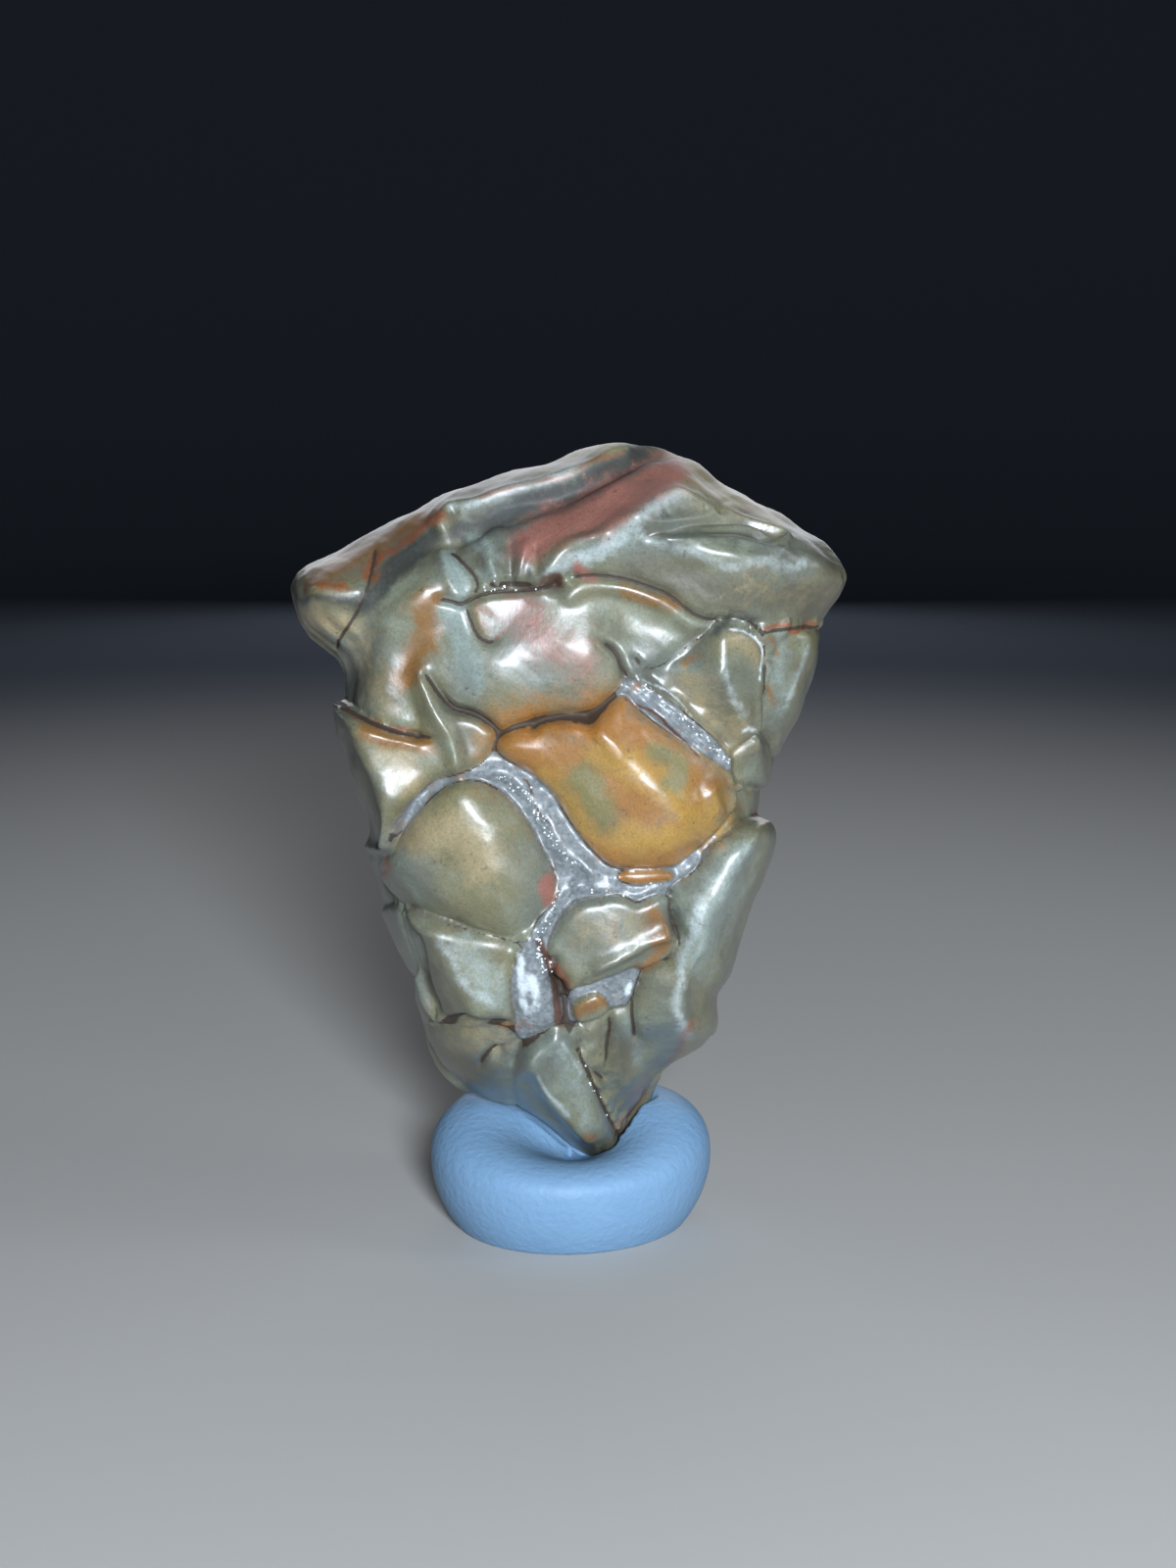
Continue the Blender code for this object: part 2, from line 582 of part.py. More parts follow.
def evenFaces(obj, voxel):
    remesh = obj.modifiers.new("even faces", "REMESH")
    remesh.mode = "VOXEL"
    remesh.voxel_size = voxel
    return applied(obj)


def fewerFaces(obj, triangles):
    obj.data.calc_loop_triangles()
    thin = obj.modifiers.new("fewer faces", "DECIMATE")
    thin.ratio = min(1, triangles / len(obj.data.loop_triangles))
    return applied(obj)


def verticesOf(mesh):
    places = np.empty(len(mesh.vertices) * 3, np.float32)
    mesh.vertices.foreach_get("co", places)
    return places.reshape(-1, 3).astype(float)


def normalsOf(mesh):
    normals = np.empty(len(mesh.vertices) * 3, np.float32)
    mesh.vertex_normals.foreach_get("vector", normals)
    return normals.reshape(-1, 3).astype(float)


def moveVertices(mesh, places):
    mesh.vertices.foreach_set("co", places.astype(np.float32).ravel())
    mesh.update()


def applied(obj):
    # The object's modifiers made part of its mesh
    graph = bpy.context.evaluated_depsgraph_get()
    mesh = bpy.data.meshes.new_from_object(obj.evaluated_get(graph))
    obj.modifiers.clear()
    obj.data = mesh
    return obj


def lobeHeight(places, lobe):
    # How far one lobe stands out of the body, in millimetres, or far below it away from the lobe
    height = np.full(len(places), -9.0)
    curve = rounded(lobe["outline"], closed=True)
    chosen = near(places, curve, 20)
    here = places[chosen]
    margin = insideDistance(here, curve) + lobeSpread
    rim = np.clip(margin / lobe["rim"], 0, 1)
    raised = lobe["lift"] - lobe["drop"] * (1 - np.sqrt(1 - (1 - rim) ** 2))
    for line, slopes, reach, radius in lobe.get("crests", []):
        away, onRight = sideDistance(here, rounded(line))
        away = np.hypot(away, radius) - radius
        slope = crestSlope * np.where(onRight, slopes[1], slopes[0])
        raised += reach * (crestRise * sum(slopes) - slope * (1 - np.exp(-away / reach)))
    height[chosen] = raised + np.minimum(margin, 0) * beyondLobe
    return height


def along(places, line, halfWidth):
    # 1 on a drawn line, falling to 0 either side of it
    curve = rounded(line)
    chosen = near(places, curve, 3 * halfWidth * millimetre / pixel)
    strength = np.zeros(len(places))
    strength[chosen] = np.exp(-(lineDistance(places[chosen], curve) / halfWidth) ** 2)
    return strength


def fading(places, line, length):
    # 0 at the two ends of a drawn line, rising to 1 that many pixels away from them
    ends = [np.hypot(*(places - np.array(end)).T) for end in (line[0], line[-1])]
    return smoothStep(0, length, ends[0]) * smoothStep(0, length, ends[1])


def frontRelief(points, places, facing):
    # The front's relief in millimetres
    height, size = floorSwells
    floor = seamFloor + height * waves(points, size, 3)
    for line, height, halfWidth in seamBanks + welds:
        floor += height * along(places, line, halfWidth)
    relief = floor
    for lobe in lobes.values():
        relief = np.maximum(relief, lobeHeight(places, lobe))
    for line, height, halfWidth in folds:
        relief = relief + height * facing * along(places, line, max(halfWidth, finestGroove))
    for line, depth, halfWidth in cracks:
        slit = along(places, line, max(halfWidth, finestGroove))
        relief = relief - depth * slit * fading(places, line, crackFade)
    for centre, radius, depth in pits:
        away = np.hypot(*(places - np.array(centre)).T) * pixel / millimetre
        relief = relief - depth * np.exp(-(away / max(radius, finestGroove)) ** 2)
    return relief


def averaged(mesh, values):
    # The values smoothed over the surface, within about half a millimetre
    edges = np.empty(len(mesh.edges) * 2, np.int32)
    mesh.edges.foreach_get("vertices", edges)
    first, second = edges.reshape(-1, 2).T
    count = np.bincount(first, minlength=len(values)) + np.bincount(second, minlength=len(values))
    for _ in range(3):
        total = np.bincount(first, values[second], len(values))
        total += np.bincount(second, values[first], len(values))
        values = (values + total / count) / 2
    return values


def placeBackSeeds(outline):
    # A few seeds far apart and then more between them, all on the smooth body's back
    random = np.random.default_rng(backRandomSeed)
    seeds = []
    for count, spacing in backLobes:
        wanted = len(seeds) + count
        while len(seeds) < wanted:
            place = random.uniform(outline.min(0), outline.max(0))
            margin = insideDistance(place[None], outline)[0]
            if margin < seedMargin:
                continue
            edge = min(margin / edgeRounding, 1)
            depth = np.interp(place[1], thicknessRows, backThickness) * math.sqrt(1 - (1 - edge) ** 2)
            seed = fromPhoto(place[0], place[1], depth * millimetre) / millimetre
            if all(np.linalg.norm(seed - other) > spacing for other in seeds):
                seeds.append(seed)
    return np.array(seeds)


def backRelief(points, away):
    # The back's relief in millimetres
    seeds = placeBackSeeds(rounded(silhouette, closed=True))
    warped = points / millimetre
    height, size = backWarp
    for axis in range(3):
        warped[:, axis] += height * waves(points, size, 20 + axis)
    gaps = np.array([np.linalg.norm(warped - seed, axis=1) for seed in seeds])
    order = np.argsort(gaps, axis=0)
    nearest, second = order[0], order[1]
    columns = np.arange(len(points))
    spread = np.linalg.norm(seeds[nearest] - seeds[second], axis=1)
    border = (gaps[second, columns] ** 2 - gaps[nearest, columns] ** 2) / (2 * spread)
    random = np.random.default_rng(backRandomSeed + 1)
    lifts = random.uniform(*backLift, len(seeds))
    tilts = random.normal(size=(len(seeds), 3)) * backTilt
    slope = np.sum((points / millimetre - seeds[nearest]) * tilts[nearest], axis=1)
    margin = border - backSeam - wideSeam * smoothStep(*wideSeams, waves(points, wideSeamSize, 40))
    rim = np.clip(margin / backRim, 0, 1)
    lobe = lifts[nearest] + np.clip(slope, -mostTilt, mostTilt)
    lobe = np.where(lobe > 0, lobe * away, lobe) - backDrop * (1 - np.sqrt(1 - (1 - rim) ** 2))
    lobe += np.minimum(margin, 0) * beyondLobe
    height, size = floorSwells
    floor = seamFloor + backFloor + height * waves(points, size, 4)
    return np.maximum(lobe, floor)


def sculptStone(mesh):
    points = verticesOf(mesh)
    normals = normalsOf(mesh)
    forward, _ = viewAxes()
    toCamera = (viewAim - forward * viewDistance) - points
    toCamera /= np.linalg.norm(toCamera, axis=1)[:, None]
    turned = np.sum(normals * toCamera, axis=1)
    front = smoothStep(*frontTurn, turned)
    facing = smoothStep(*foldTurn, turned)
    backHeight = backRelief(points, smoothStep(*awayTurn, -turned))
    # The second time round, each drawn line is met where the raised surface is seen
    drawn = points
    for _ in range(2):
        relief = front * frontRelief(points, toPhoto(drawn), facing) + (1 - front) * backHeight
        drawn = points + normals * averaged(mesh, relief)[:, None] * millimetre
    height, size = skinSwells
    relief += height * waves(points, size, 11)
    moveVertices(mesh, points + normals * relief[:, None] * millimetre)


def material(name, colour, roughness):
    made = bpy.data.materials.new(name)
    made.use_nodes = True
    shader = made.node_tree.nodes["Principled BSDF"]
    shader.inputs["Base Color"].default_value = (*colour, 1)
    shader.inputs["Roughness"].default_value = roughness
    return made


def makeStone():
    stone = bodyMesh(stoneVoxel)
    stone.name = "stone"
    sculptStone(stone.data)
    stone = fewerFaces(stone, stoneTriangles)
    stone.data.materials.append(material("waterworn jasper", jasperColour, jasperRoughness))
    return stone


def padSurface(unit):
    # Each point of a ball moved to the soft lump of putty: a flat foot, round flanks, a dished top
    ring = np.hypot(unit[:, 0], unit[:, 1])
    rise = unit[:, 2]
    turn = np.arctan2(unit[:, 1], unit[:, 0])
    towardsFront = np.clip(-np.sin(turn), 0, 1) ** padFrontPower
    height = padSideHeight + (padFrontHeight - padSideHeight) * towardsFront
    height += padUneven * np.sin(3 * turn + 0.8)
    reach = ring ** padRimPower * (1 + 0.012 * np.sin(2 * turn + 0.5) + 0.01 * np.sin(3 * turn + 2.0))
    above = padWaist + (height - padWaist) * np.clip(rise, 0, 1) ** padTopPower
    above -= padDish * np.exp(-(ring / padDishWidth) ** 2) * np.clip(rise, 0, 1)
    below = padWaist * (1 - np.clip(-rise / padFoot, 0, 1) ** padFootPower)
    places = np.empty_like(unit)
    places[:, 0] = padCentre[0] + np.cos(turn) * reach * padWidth / 2
    places[:, 1] = padCentre[1] + np.sin(turn) * reach * padDepth / 2
    places[:, 2] = np.where(rise > 0, above, below)
    return places


def pressedBy(stone, places):
    # The putty pushed down under the stone
    tree = BVHTree.FromPolygons([v.co for v in stone.data.vertices],
                                [p.vertices for p in stone.data.polygons])
    turns = [k * math.pi / 4 for k in range(8)]
    around = [(0, 0)] + [(math.cos(a) * restGap, math.sin(a) * restGap) for a in turns]
    for place in places:
        if place[2] < padWaist / 2:
            continue
        for stepX, stepY in around:
            under = Vector((place[0] + stepX, place[1] + stepY, -padWidth))
            hit = tree.ray_cast(under, Vector((0, 0, 1)))[0]
            if hit is not None:
                place[2] = min(place[2], hit.z - pressGap)
    return places


def makePad(stone):
    bpy.ops.mesh.primitive_uv_sphere_add(segments=padSegments, ring_count=padRings, radius=1)
    pad = bpy.context.object
    pad.name = "putty_pad"
    moveVertices(pad.data, pressedBy(stone, padSurface(verticesOf(pad.data))))
    pad = fewerFaces(pad, padTriangles)
    pad.data.materials.append(material("blue grey putty", puttyColour, puttyRoughness))
    return pad


def main():
    for obj in list(bpy.data.objects):
        bpy.data.objects.remove(obj)
    group = bpy.data.collections.new("scholars rock")
    bpy.context.scene.collection.children.link(group)
    layer = bpy.context.view_layer.layer_collection.children[group.name]
    bpy.context.view_layer.active_layer_collection = layer
    stone = makeStone()
    makePad(stone)


main()
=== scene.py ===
import math

import bmesh
import bpy
import numpy as np
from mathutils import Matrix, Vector
from mathutils.bvhtree import BVHTree


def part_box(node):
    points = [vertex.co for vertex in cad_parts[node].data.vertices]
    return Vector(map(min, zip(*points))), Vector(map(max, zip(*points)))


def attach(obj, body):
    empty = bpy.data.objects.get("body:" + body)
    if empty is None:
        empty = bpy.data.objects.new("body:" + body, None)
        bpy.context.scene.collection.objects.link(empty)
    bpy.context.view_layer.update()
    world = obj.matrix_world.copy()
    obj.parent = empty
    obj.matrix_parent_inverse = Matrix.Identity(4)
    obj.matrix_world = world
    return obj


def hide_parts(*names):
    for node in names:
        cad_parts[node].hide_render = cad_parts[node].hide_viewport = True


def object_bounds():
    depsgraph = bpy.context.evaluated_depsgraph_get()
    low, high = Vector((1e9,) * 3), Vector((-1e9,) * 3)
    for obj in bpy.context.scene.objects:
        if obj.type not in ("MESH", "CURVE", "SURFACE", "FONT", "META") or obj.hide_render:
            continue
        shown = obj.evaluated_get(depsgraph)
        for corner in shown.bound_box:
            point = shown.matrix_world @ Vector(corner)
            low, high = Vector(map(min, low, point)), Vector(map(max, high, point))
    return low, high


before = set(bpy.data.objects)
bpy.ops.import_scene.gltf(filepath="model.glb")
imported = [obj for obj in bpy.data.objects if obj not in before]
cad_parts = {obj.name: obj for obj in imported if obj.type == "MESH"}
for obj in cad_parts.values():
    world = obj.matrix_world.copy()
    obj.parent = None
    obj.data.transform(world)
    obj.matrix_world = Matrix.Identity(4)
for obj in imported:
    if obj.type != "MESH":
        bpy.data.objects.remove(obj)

# A small scholars rock: a waterworn, waxed jasper with quartz in its seams, standing on its point in a
# pad of putty. The stone's front is drawn over a frontal picture, so its outlines, cracks and stains are
# in that picture's pixels, across and down, and fromPhoto and toPhoto tie them to the model's metres.
cadLow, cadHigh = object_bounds()
stoneLow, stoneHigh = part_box("stone")
mm = 0.001

view = {
    "distance": 0.198,
    "pitch": math.radians(11),
    "aim": np.array((0.0015, 0.0, 0.0383)),
    "pictureCentre": np.array((600.0, 800.0)),
    "pictureHeight": 1600,
    "focalPixels": 2404.0,
    "sensor": 36,
}
pixel = view["distance"] / view["focalPixels"]


def linearColour(hexText):
    # An sRGB hex colour as the linear colour that the shaders want
    channels = [int(hexText[k:k + 2], 16) / 255 for k in (1, 3, 5)]
    return [c / 12.92 if c <= 0.04045 else ((c + 0.055) / 1.055) ** 2.4 for c in channels] + [1]


def addNode(tree, kind, inputs=None, out=0, **settings):
    # Sets each input to a value or joins it to another node's output, and gives back one output
    node = tree.nodes.new(kind)
    for name, value in settings.items():
        setattr(node, name, value)
    for name, value in (inputs or {}).items():
        if isinstance(value, bpy.types.NodeSocket):
            tree.links.new(value, node.inputs[name])
        else:
            node.inputs[name].default_value = value
    return node.outputs[out]


# The stone's form
stone = {
    "voxel": 0.17 * mm,
    "triangles": 196000,
    "thicknessRows": (440, 500, 560, 640, 740, 840, 920, 1000, 1080, 1140, 1190),
    "frontThickness": (8.6, 11.1, 12.2, 12.0, 12.2, 12.6, 12.7, 12.3, 11.2, 9.4, 6.6),
    "backThickness": (7.2, 9.2, 11.2, 12.6, 13.0, 12.6, 11.4, 9.6, 7.4, 5.6, 4.2),
    "edgeRounding": 10.5,
    "seamFloor": -1.15,
    "lobeSpread": 0.16,
    "crestSlope": 1.4,
    "lobeFlank": 1.8,
    "crackFade": 14,
    "bodyCentre": (590, 770),
    "ballSize": (24, 15, 32),
    "searchReach": 50 * mm,
    "searchSteps": 18,
    "farBelow": -9.0,
    "backLobes": ((6, 16.5), (11, 7.5)),
    "backSeed": 7,
    "backRim": 2.4,
    "backDrop": 1.3,
    "backTilt": 0.13,
    "backFlank": 2.5,
}

silhouette = [
    (302, 594), (308, 583), (318, 575), (345, 559), (380, 538), (430, 513), (450, 500), (500, 483),
    (557, 466), (597, 453), (625, 448), (656, 449), (684, 456), (712, 471), (743, 491), (771, 505),
    (806, 528), (834, 548), (853, 565), (864, 582), (865, 592), (860, 608), (851, 622), (844, 635),
    (836, 641), (838, 654), (836, 672), (830, 693), (822, 714), (811, 734), (801, 754), (793, 772),
    (787, 790), (783, 808), (780, 826), (778, 836), (781, 850), (780, 864), (776, 884), (770, 903),
    (763, 916), (757, 934), (752, 957), (745, 978), (737, 995), (728, 1009), (722, 1030),
    (715, 1046), (705, 1062), (692, 1079), (681, 1090), (675, 1096), (670, 1110), (664, 1124),
    (656, 1140), (647, 1155), (637, 1165), (627, 1174), (616, 1178), (603, 1175), (588, 1167),
    (571, 1155), (552, 1139), (537, 1130), (520, 1128), (503, 1124), (486, 1116), (469, 1103),
    (456, 1092), (446, 1077), (438, 1058), (428, 1038), (420, 1020), (417, 1003), (414, 988),
    (404, 971), (394, 951), (387, 934), (387, 925), (380, 906), (375, 886), (374, 866), (377, 848),
    (371, 824), (361, 799), (349, 768), (342, 742), (342, 724), (348, 712), (347, 690), (347, 669),
    (334, 663), (318, 656), (306, 643), (301, 620),
]

# Where the body turns to its side more sharply: (line, half width, rounding), in millimetres
sharpEdges = [
    ([(346, 735), (366, 785), (388, 845)], 6.0, 3.2),
    ([(700, 470), (780, 512), (850, 560)], 6.0, 7.5),
    ([(450, 500), (560, 466), (650, 450)], 6.0, 9.0),
    ([(832, 660), (815, 715), (792, 770)], 5.0, 6.0),
    ([(304, 600), (312, 645)], 4.0, 3.6),
    ([(770, 860), (748, 950), (716, 1030)], 4.0, 6.5),
]

# The stone's lobes. lift raises one, drop is how far its rim sinks, over the distance rim. A crest is
# (line, slopes, reach, radius): the surface falls away to the left and right of the line, as one goes
# along it, at those slopes and up to that far.
lobes = {
    "upperMass": dict(
        outline=[
            (250, 550), (250, 690), (320, 690), (345, 690), (320, 708), (348, 713), (362, 724),
            (373, 730), (395, 738), (413, 744), (428, 747), (462, 757), (462, 735), (450, 708),
            (436, 682), (446, 697), (456, 709), (466, 718), (478, 721), (491, 726), (503, 733),
            (512, 742), (520, 738), (537, 733), (556, 728), (580, 725), (603, 722), (618, 712),
            (630, 700), (634, 688), (640, 676), (652, 682), (664, 680), (676, 675), (688, 665),
            (704, 654), (718, 645), (728, 634), (747, 627), (766, 631), (778, 638), (783, 642),
            (808, 637), (829, 636), (850, 640), (910, 650), (910, 480), (700, 400), (560, 400),
            (380, 480)
        ],
        lift=0.1, drop=0.8, rim=1.1,
        crests=[([(290, 600), (330, 601), (366, 606)], (0.3, 0.3), 2.2, 0.7)],
    ),
    "shoulder": dict(
        outline=[
            (325, 722), (349, 722), (362, 732), (372, 738), (394, 746), (413, 752), (430, 756),
            (430, 740), (418, 700), (431, 689), (439, 704), (449, 717), (461, 727), (474, 731),
            (487, 736), (498, 743), (503, 749), (501, 758), (497, 768), (486, 780), (464, 788),
            (443, 794), (430, 804), (417, 816), (407, 827), (400, 838), (397, 853), (391, 866),
            (370, 862), (340, 800), (310, 750)
        ],
        lift=0.2, drop=0.9, rim=1.2,
        crests=[
            ([(346, 716), (356, 735), (367, 761), (379, 788), (389, 814), (395, 838), (393, 862)],
             (0.45, 1.25), 2.6, 0.6),
        ],
    ),
    "medallion": dict(
        outline=[
            (388, 884), (391, 873), (398, 863), (409, 850), (426, 833), (446, 813), (464, 802),
            (480, 799), (497, 803), (513, 813), (526, 826), (537, 841), (546, 858), (554, 874),
            (563, 892), (568, 905), (565, 917), (557, 926), (547, 936), (542, 947), (536, 957),
            (527, 959), (515, 956), (497, 951), (476, 946), (459, 941), (445, 938), (433, 933),
            (421, 929), (412, 925), (405, 918), (396, 905), (389, 895)
        ],
        lift=0.9, drop=1.5, rim=3.2,
        crests=[([(464, 808), (476, 824), (486, 841), (496, 860), (504, 885)], (0.34, 0.26), 3.5, 1.2)],
    ),
    "slabA": dict(
        outline=[
            (350, 846), (380, 852), (388, 862), (384, 884), (386, 898), (393, 910), (402, 921),
            (405, 926), (392, 929), (365, 918), (350, 880)
        ],
        lift=-0.5, drop=0.5, rim=0.8,
    ),
    "lowerLeft": dict(
        outline=[
            (414, 931), (433, 939), (459, 947), (476, 952), (497, 957), (517, 962), (529, 966),
            (531, 974), (524, 981), (519, 1000), (518, 1022), (522, 1036), (523, 1044), (507, 1042),
            (491, 1040), (467, 1041), (449, 1040), (442, 1027), (435, 1011), (431, 993), (428, 975),
            (422, 956), (416, 940)
        ],
        lift=1.0, drop=0.8, rim=1.2,
        crests=[
            ([(442, 948), (453, 972), (464, 996), (476, 1020), (488, 1040)], (0.6, 0.5), 2.4, 1.0),
            ([(521, 976), (517, 1000), (521, 1028)], (0.5, 0.15), 0.9, 0.3),
        ],
    ),
    "slabB": dict(
        outline=[
            (360, 925), (389, 926), (403, 926), (411, 932), (414, 942), (420, 958), (426, 976),
            (429, 993), (420, 996), (395, 990), (360, 955)
        ],
        lift=-0.3, drop=0.5, rim=0.7,
        crests=[([(398, 926), (408, 950), (420, 984)], (0.4, 0.6), 1.2, 0.35)],
    ),
    "slabC": dict(
        outline=[
            (395, 998), (420, 997), (430, 998), (434, 1013), (440, 1028), (447, 1041), (440, 1052),
            (425, 1048), (395, 1030)
        ],
        lift=-0.4, drop=0.5, rim=0.7,
    ),
    "bottomLeft": dict(
        outline=[
            (420, 1050), (449, 1045), (467, 1046), (491, 1045), (507, 1047), (520, 1051), (529, 1060),
            (532, 1074), (529, 1094), (527, 1112), (532, 1150), (490, 1150), (450, 1120), (420, 1080)
        ],
        lift=0.0, drop=0.8, rim=1.4,
    ),
    "tipLeft": dict(
        outline=[
            (530, 1082), (538, 1069), (551, 1060), (563, 1051), (571, 1046), (577, 1054), (588, 1070),
            (598, 1090), (605, 1112), (613, 1131), (621, 1148), (627, 1160), (636, 1170), (630, 1200),
            (590, 1200), (555, 1170), (530, 1140), (524, 1110)
        ],
        lift=0.9, drop=0.9, rim=1.3,
        crests=[
            ([(541, 1082), (551, 1101), (562, 1118), (577, 1137), (598, 1158)], (0.8, 0.9), 2.4, 0.8),
            ([(572, 1064), (581, 1090), (591, 1115), (600, 1142)], (0.5, 0.3), 1.2, 0.5),
        ],
    ),
    "rightLower": dict(
        outline=[
            (820, 836), (778, 839), (762, 844), (747, 855), (734, 864), (727, 872), (717, 886),
            (706, 896), (696, 903), (689, 911), (688, 925), (692, 942), (696, 957), (692, 970),
            (684, 980), (670, 987), (661, 992), (656, 1007), (649, 1021), (636, 1029), (622, 1033),
            (608, 1037), (597, 1043), (587, 1050), (584, 1058), (592, 1070), (602, 1090), (609, 1112),
            (616, 1130), (624, 1146), (631, 1157), (641, 1165), (655, 1185), (700, 1140),
            (760, 1070), (810, 960), (840, 860)
        ],
        lift=0.7, drop=1.1, rim=1.6,
        crests=[
            ([(768, 847), (753, 872), (739, 898), (726, 921), (717, 940), (713, 962), (705, 985),
              (699, 1008), (697, 1028), (703, 1043), (716, 1051)], (0.5, 0.7), 3.2, 0.9),
        ],
    ),
    "centreSmall": dict(
        outline=[
            (562, 967), (570, 947), (580, 931), (595, 921), (611, 919), (626, 916), (639, 919),
            (650, 924), (662, 920), (677, 915), (683, 926), (685, 940), (689, 956), (690, 966),
            (685, 976), (671, 982), (658, 987), (646, 984), (633, 989), (618, 994), (606, 999),
            (595, 1004), (583, 1006), (576, 997), (568, 986), (563, 976)
        ],
        lift=-0.1, drop=0.8, rim=1.1,
        crests=[
            ([(602, 995), (618, 985), (634, 973), (650, 963), (664, 959), (684, 960)],
             (0.08, 0.75), 2.4, 0.6),
        ],
    ),
    "amber": dict(
        outline=[
            (509, 764), (515, 752), (536, 745), (556, 740), (580, 738), (602, 741), (614, 732),
            (625, 720), (635, 712), (643, 719), (661, 735), (682, 750), (704, 764), (727, 779),
            (744, 792), (751, 804), (748, 821), (736, 838), (719, 856), (701, 869), (687, 879),
            (664, 884), (643, 885), (625, 882), (613, 872), (599, 858), (587, 842), (576, 825),
            (565, 806), (551, 793), (537, 783), (521, 774)
        ],
        lift=1.1, drop=1.5, rim=3.0,
        crests=[([(590, 730), (618, 754), (644, 783), (668, 808), (694, 834)], (0.4, 0.3), 3.2, 1.0)],
    ),
    "triangle": dict(
        outline=[
            (652, 691), (656, 687), (666, 684), (679, 680), (691, 670), (707, 660), (722, 650),
            (732, 638), (747, 633), (763, 637), (773, 647), (777, 662), (777, 683), (776, 703),
            (773, 724), (771, 743), (763, 755), (746, 769), (741, 764), (731, 752), (715, 738),
            (697, 722), (679, 709), (663, 700)
        ],
        lift=0.0, drop=1.0, rim=1.0,
        crests=[
            ([(672, 680), (700, 683), (730, 688)], (0.45, 0.45), 1.8, 0.5),
            ([(736, 655), (741, 685), (753, 714), (769, 750)], (0.5, 0.75), 2.6, 0.8),
        ],
    ),
    "wedge": dict(
        outline=[(633, 668), (641, 662), (648, 670), (654, 681), (650, 688), (640, 691), (636, 684)],
        lift=-0.5, drop=0.6, rim=0.7,
    ),
    "rightStrip": dict(
        outline=[
            (782, 649), (808, 644), (836, 643), (900, 650), (870, 720), (830, 790), (800, 800),
            (789, 784), (789, 768), (786, 756), (775, 748), (778, 733), (781, 713), (783, 693),
            (784, 672), (783, 656)
        ],
        lift=-0.4, drop=0.6, rim=0.9,
        crests=[
            ([(827, 636), (825, 662), (819, 690), (809, 716), (799, 740), (793, 764)],
             (0.6, 0.9), 1.4, 0.6),
        ],
    ),
    "knee": dict(
        outline=[
            (746, 773), (760, 763), (774, 753), (786, 759), (788, 771), (805, 790), (800, 801),
            (784, 801), (770, 801), (754, 801), (750, 793), (747, 783)
        ],
        lift=-0.3, drop=0.6, rim=0.9,
        crests=[([(776, 753), (778, 778), (777, 802)], (0.6, 0.7), 1.5, 0.6)],
    ),
    "shin": dict(
        outline=[
            (754, 805), (770, 805), (784, 804), (810, 806), (810, 836), (778, 835), (763, 837),
            (752, 845), (738, 853), (727, 862), (716, 870), (727, 855), (740, 842), (749, 826),
            (752, 814)
        ],
        lift=-0.5, drop=0.6, rim=0.8,
    ),
    "brightPatch": dict(
        quartz=1.0,
        outline=[
            (534, 971), (545, 972), (554, 985), (560, 1000), (566, 1015), (572, 1030), (570, 1042),
            (558, 1049), (545, 1056), (531, 1058), (526, 1040), (522, 1022), (522, 1000), (527, 982)
        ],
        lift=0.0, drop=0.7, rim=0.9,
    ),
    "patchRight": dict(
        quartz=1.0,
        outline=[
            (592, 1008), (607, 1003), (620, 997), (634, 992), (646, 988), (656, 992), (653, 1004),
            (646, 1018), (634, 1026), (620, 1029), (606, 1034), (594, 1041), (583, 1040), (581, 1018)
        ],
        lift=-0.7, drop=0.5, rim=1.0,
    ),
    "amberChip": dict(
        outline=[(633, 895), (642, 890), (666, 890), (681, 891), (684, 894), (666, 898), (646, 900)],
        lift=-0.2, drop=0.5, rim=0.6,
    ),
    "ochreChip": dict(
        outline=[(587, 1030), (595, 1023), (609, 1018), (617, 1024), (611, 1032), (596, 1038)],
        lift=-0.1, drop=0.4, rim=0.5,
    ),
}

# The raised banks of quartz that fill the widest cracks: (line, height, half width), in millimetres
seamBanks = [
    ([(642, 702), (664, 722), (690, 742), (716, 766), (740, 790), (750, 800)], 0.75, 0.55),
    ([(652, 694), (674, 712), (700, 732), (724, 754), (744, 776)], 0.75, 0.5),
    ([(402, 846), (418, 828), (436, 812), (452, 800), (478, 791), (498, 786)], 0.6, 0.7),
    ([(510, 788), (532, 800), (552, 826), (566, 850), (584, 874), (604, 890), (626, 896)], 0.75, 0.8),
    ([(590, 904), (618, 908), (650, 912), (672, 904), (690, 896), (712, 880), (736, 860)], 0.6, 0.6),
    ([(572, 908), (562, 930), (550, 948), (544, 966), (548, 976)], 0.7, 0.7),
]

# Places where two lobes have grown together, so the seam between them is shallow
welds = [
    ([(405, 927), (445, 939), (500, 955), (532, 964)], 0.85, 1.3),
    ([(778, 645), (808, 640), (840, 640)], 0.8, 0.9),
    ([(444, 1043), (480, 1043), (522, 1047)], 0.6, 0.8),
    ([(430, 1000), (437, 1020), (447, 1042)], 0.6, 0.7),
    ([(531, 974), (522, 1000), (523, 1042)], 0.75, 0.7),
    ([(535, 1060), (552, 1054), (568, 1046)], 0.7, 0.6),
    ([(345, 715), (372, 732), (410, 747), (445, 753)], 0.5, 0.7),
    ([(582, 1058), (600, 1095), (616, 1130), (632, 1162)], 0.6, 0.7),
    ([(752, 803), (784, 803)], 0.5, 0.6),
    ([(750, 845), (778, 837)], 0.5, 0.7),
    ([(672, 682), (700, 660), (722, 646)], 0.4, 0.6),
    ([(752, 762), (776, 750), (790, 766)], 0.4, 0.6),
]

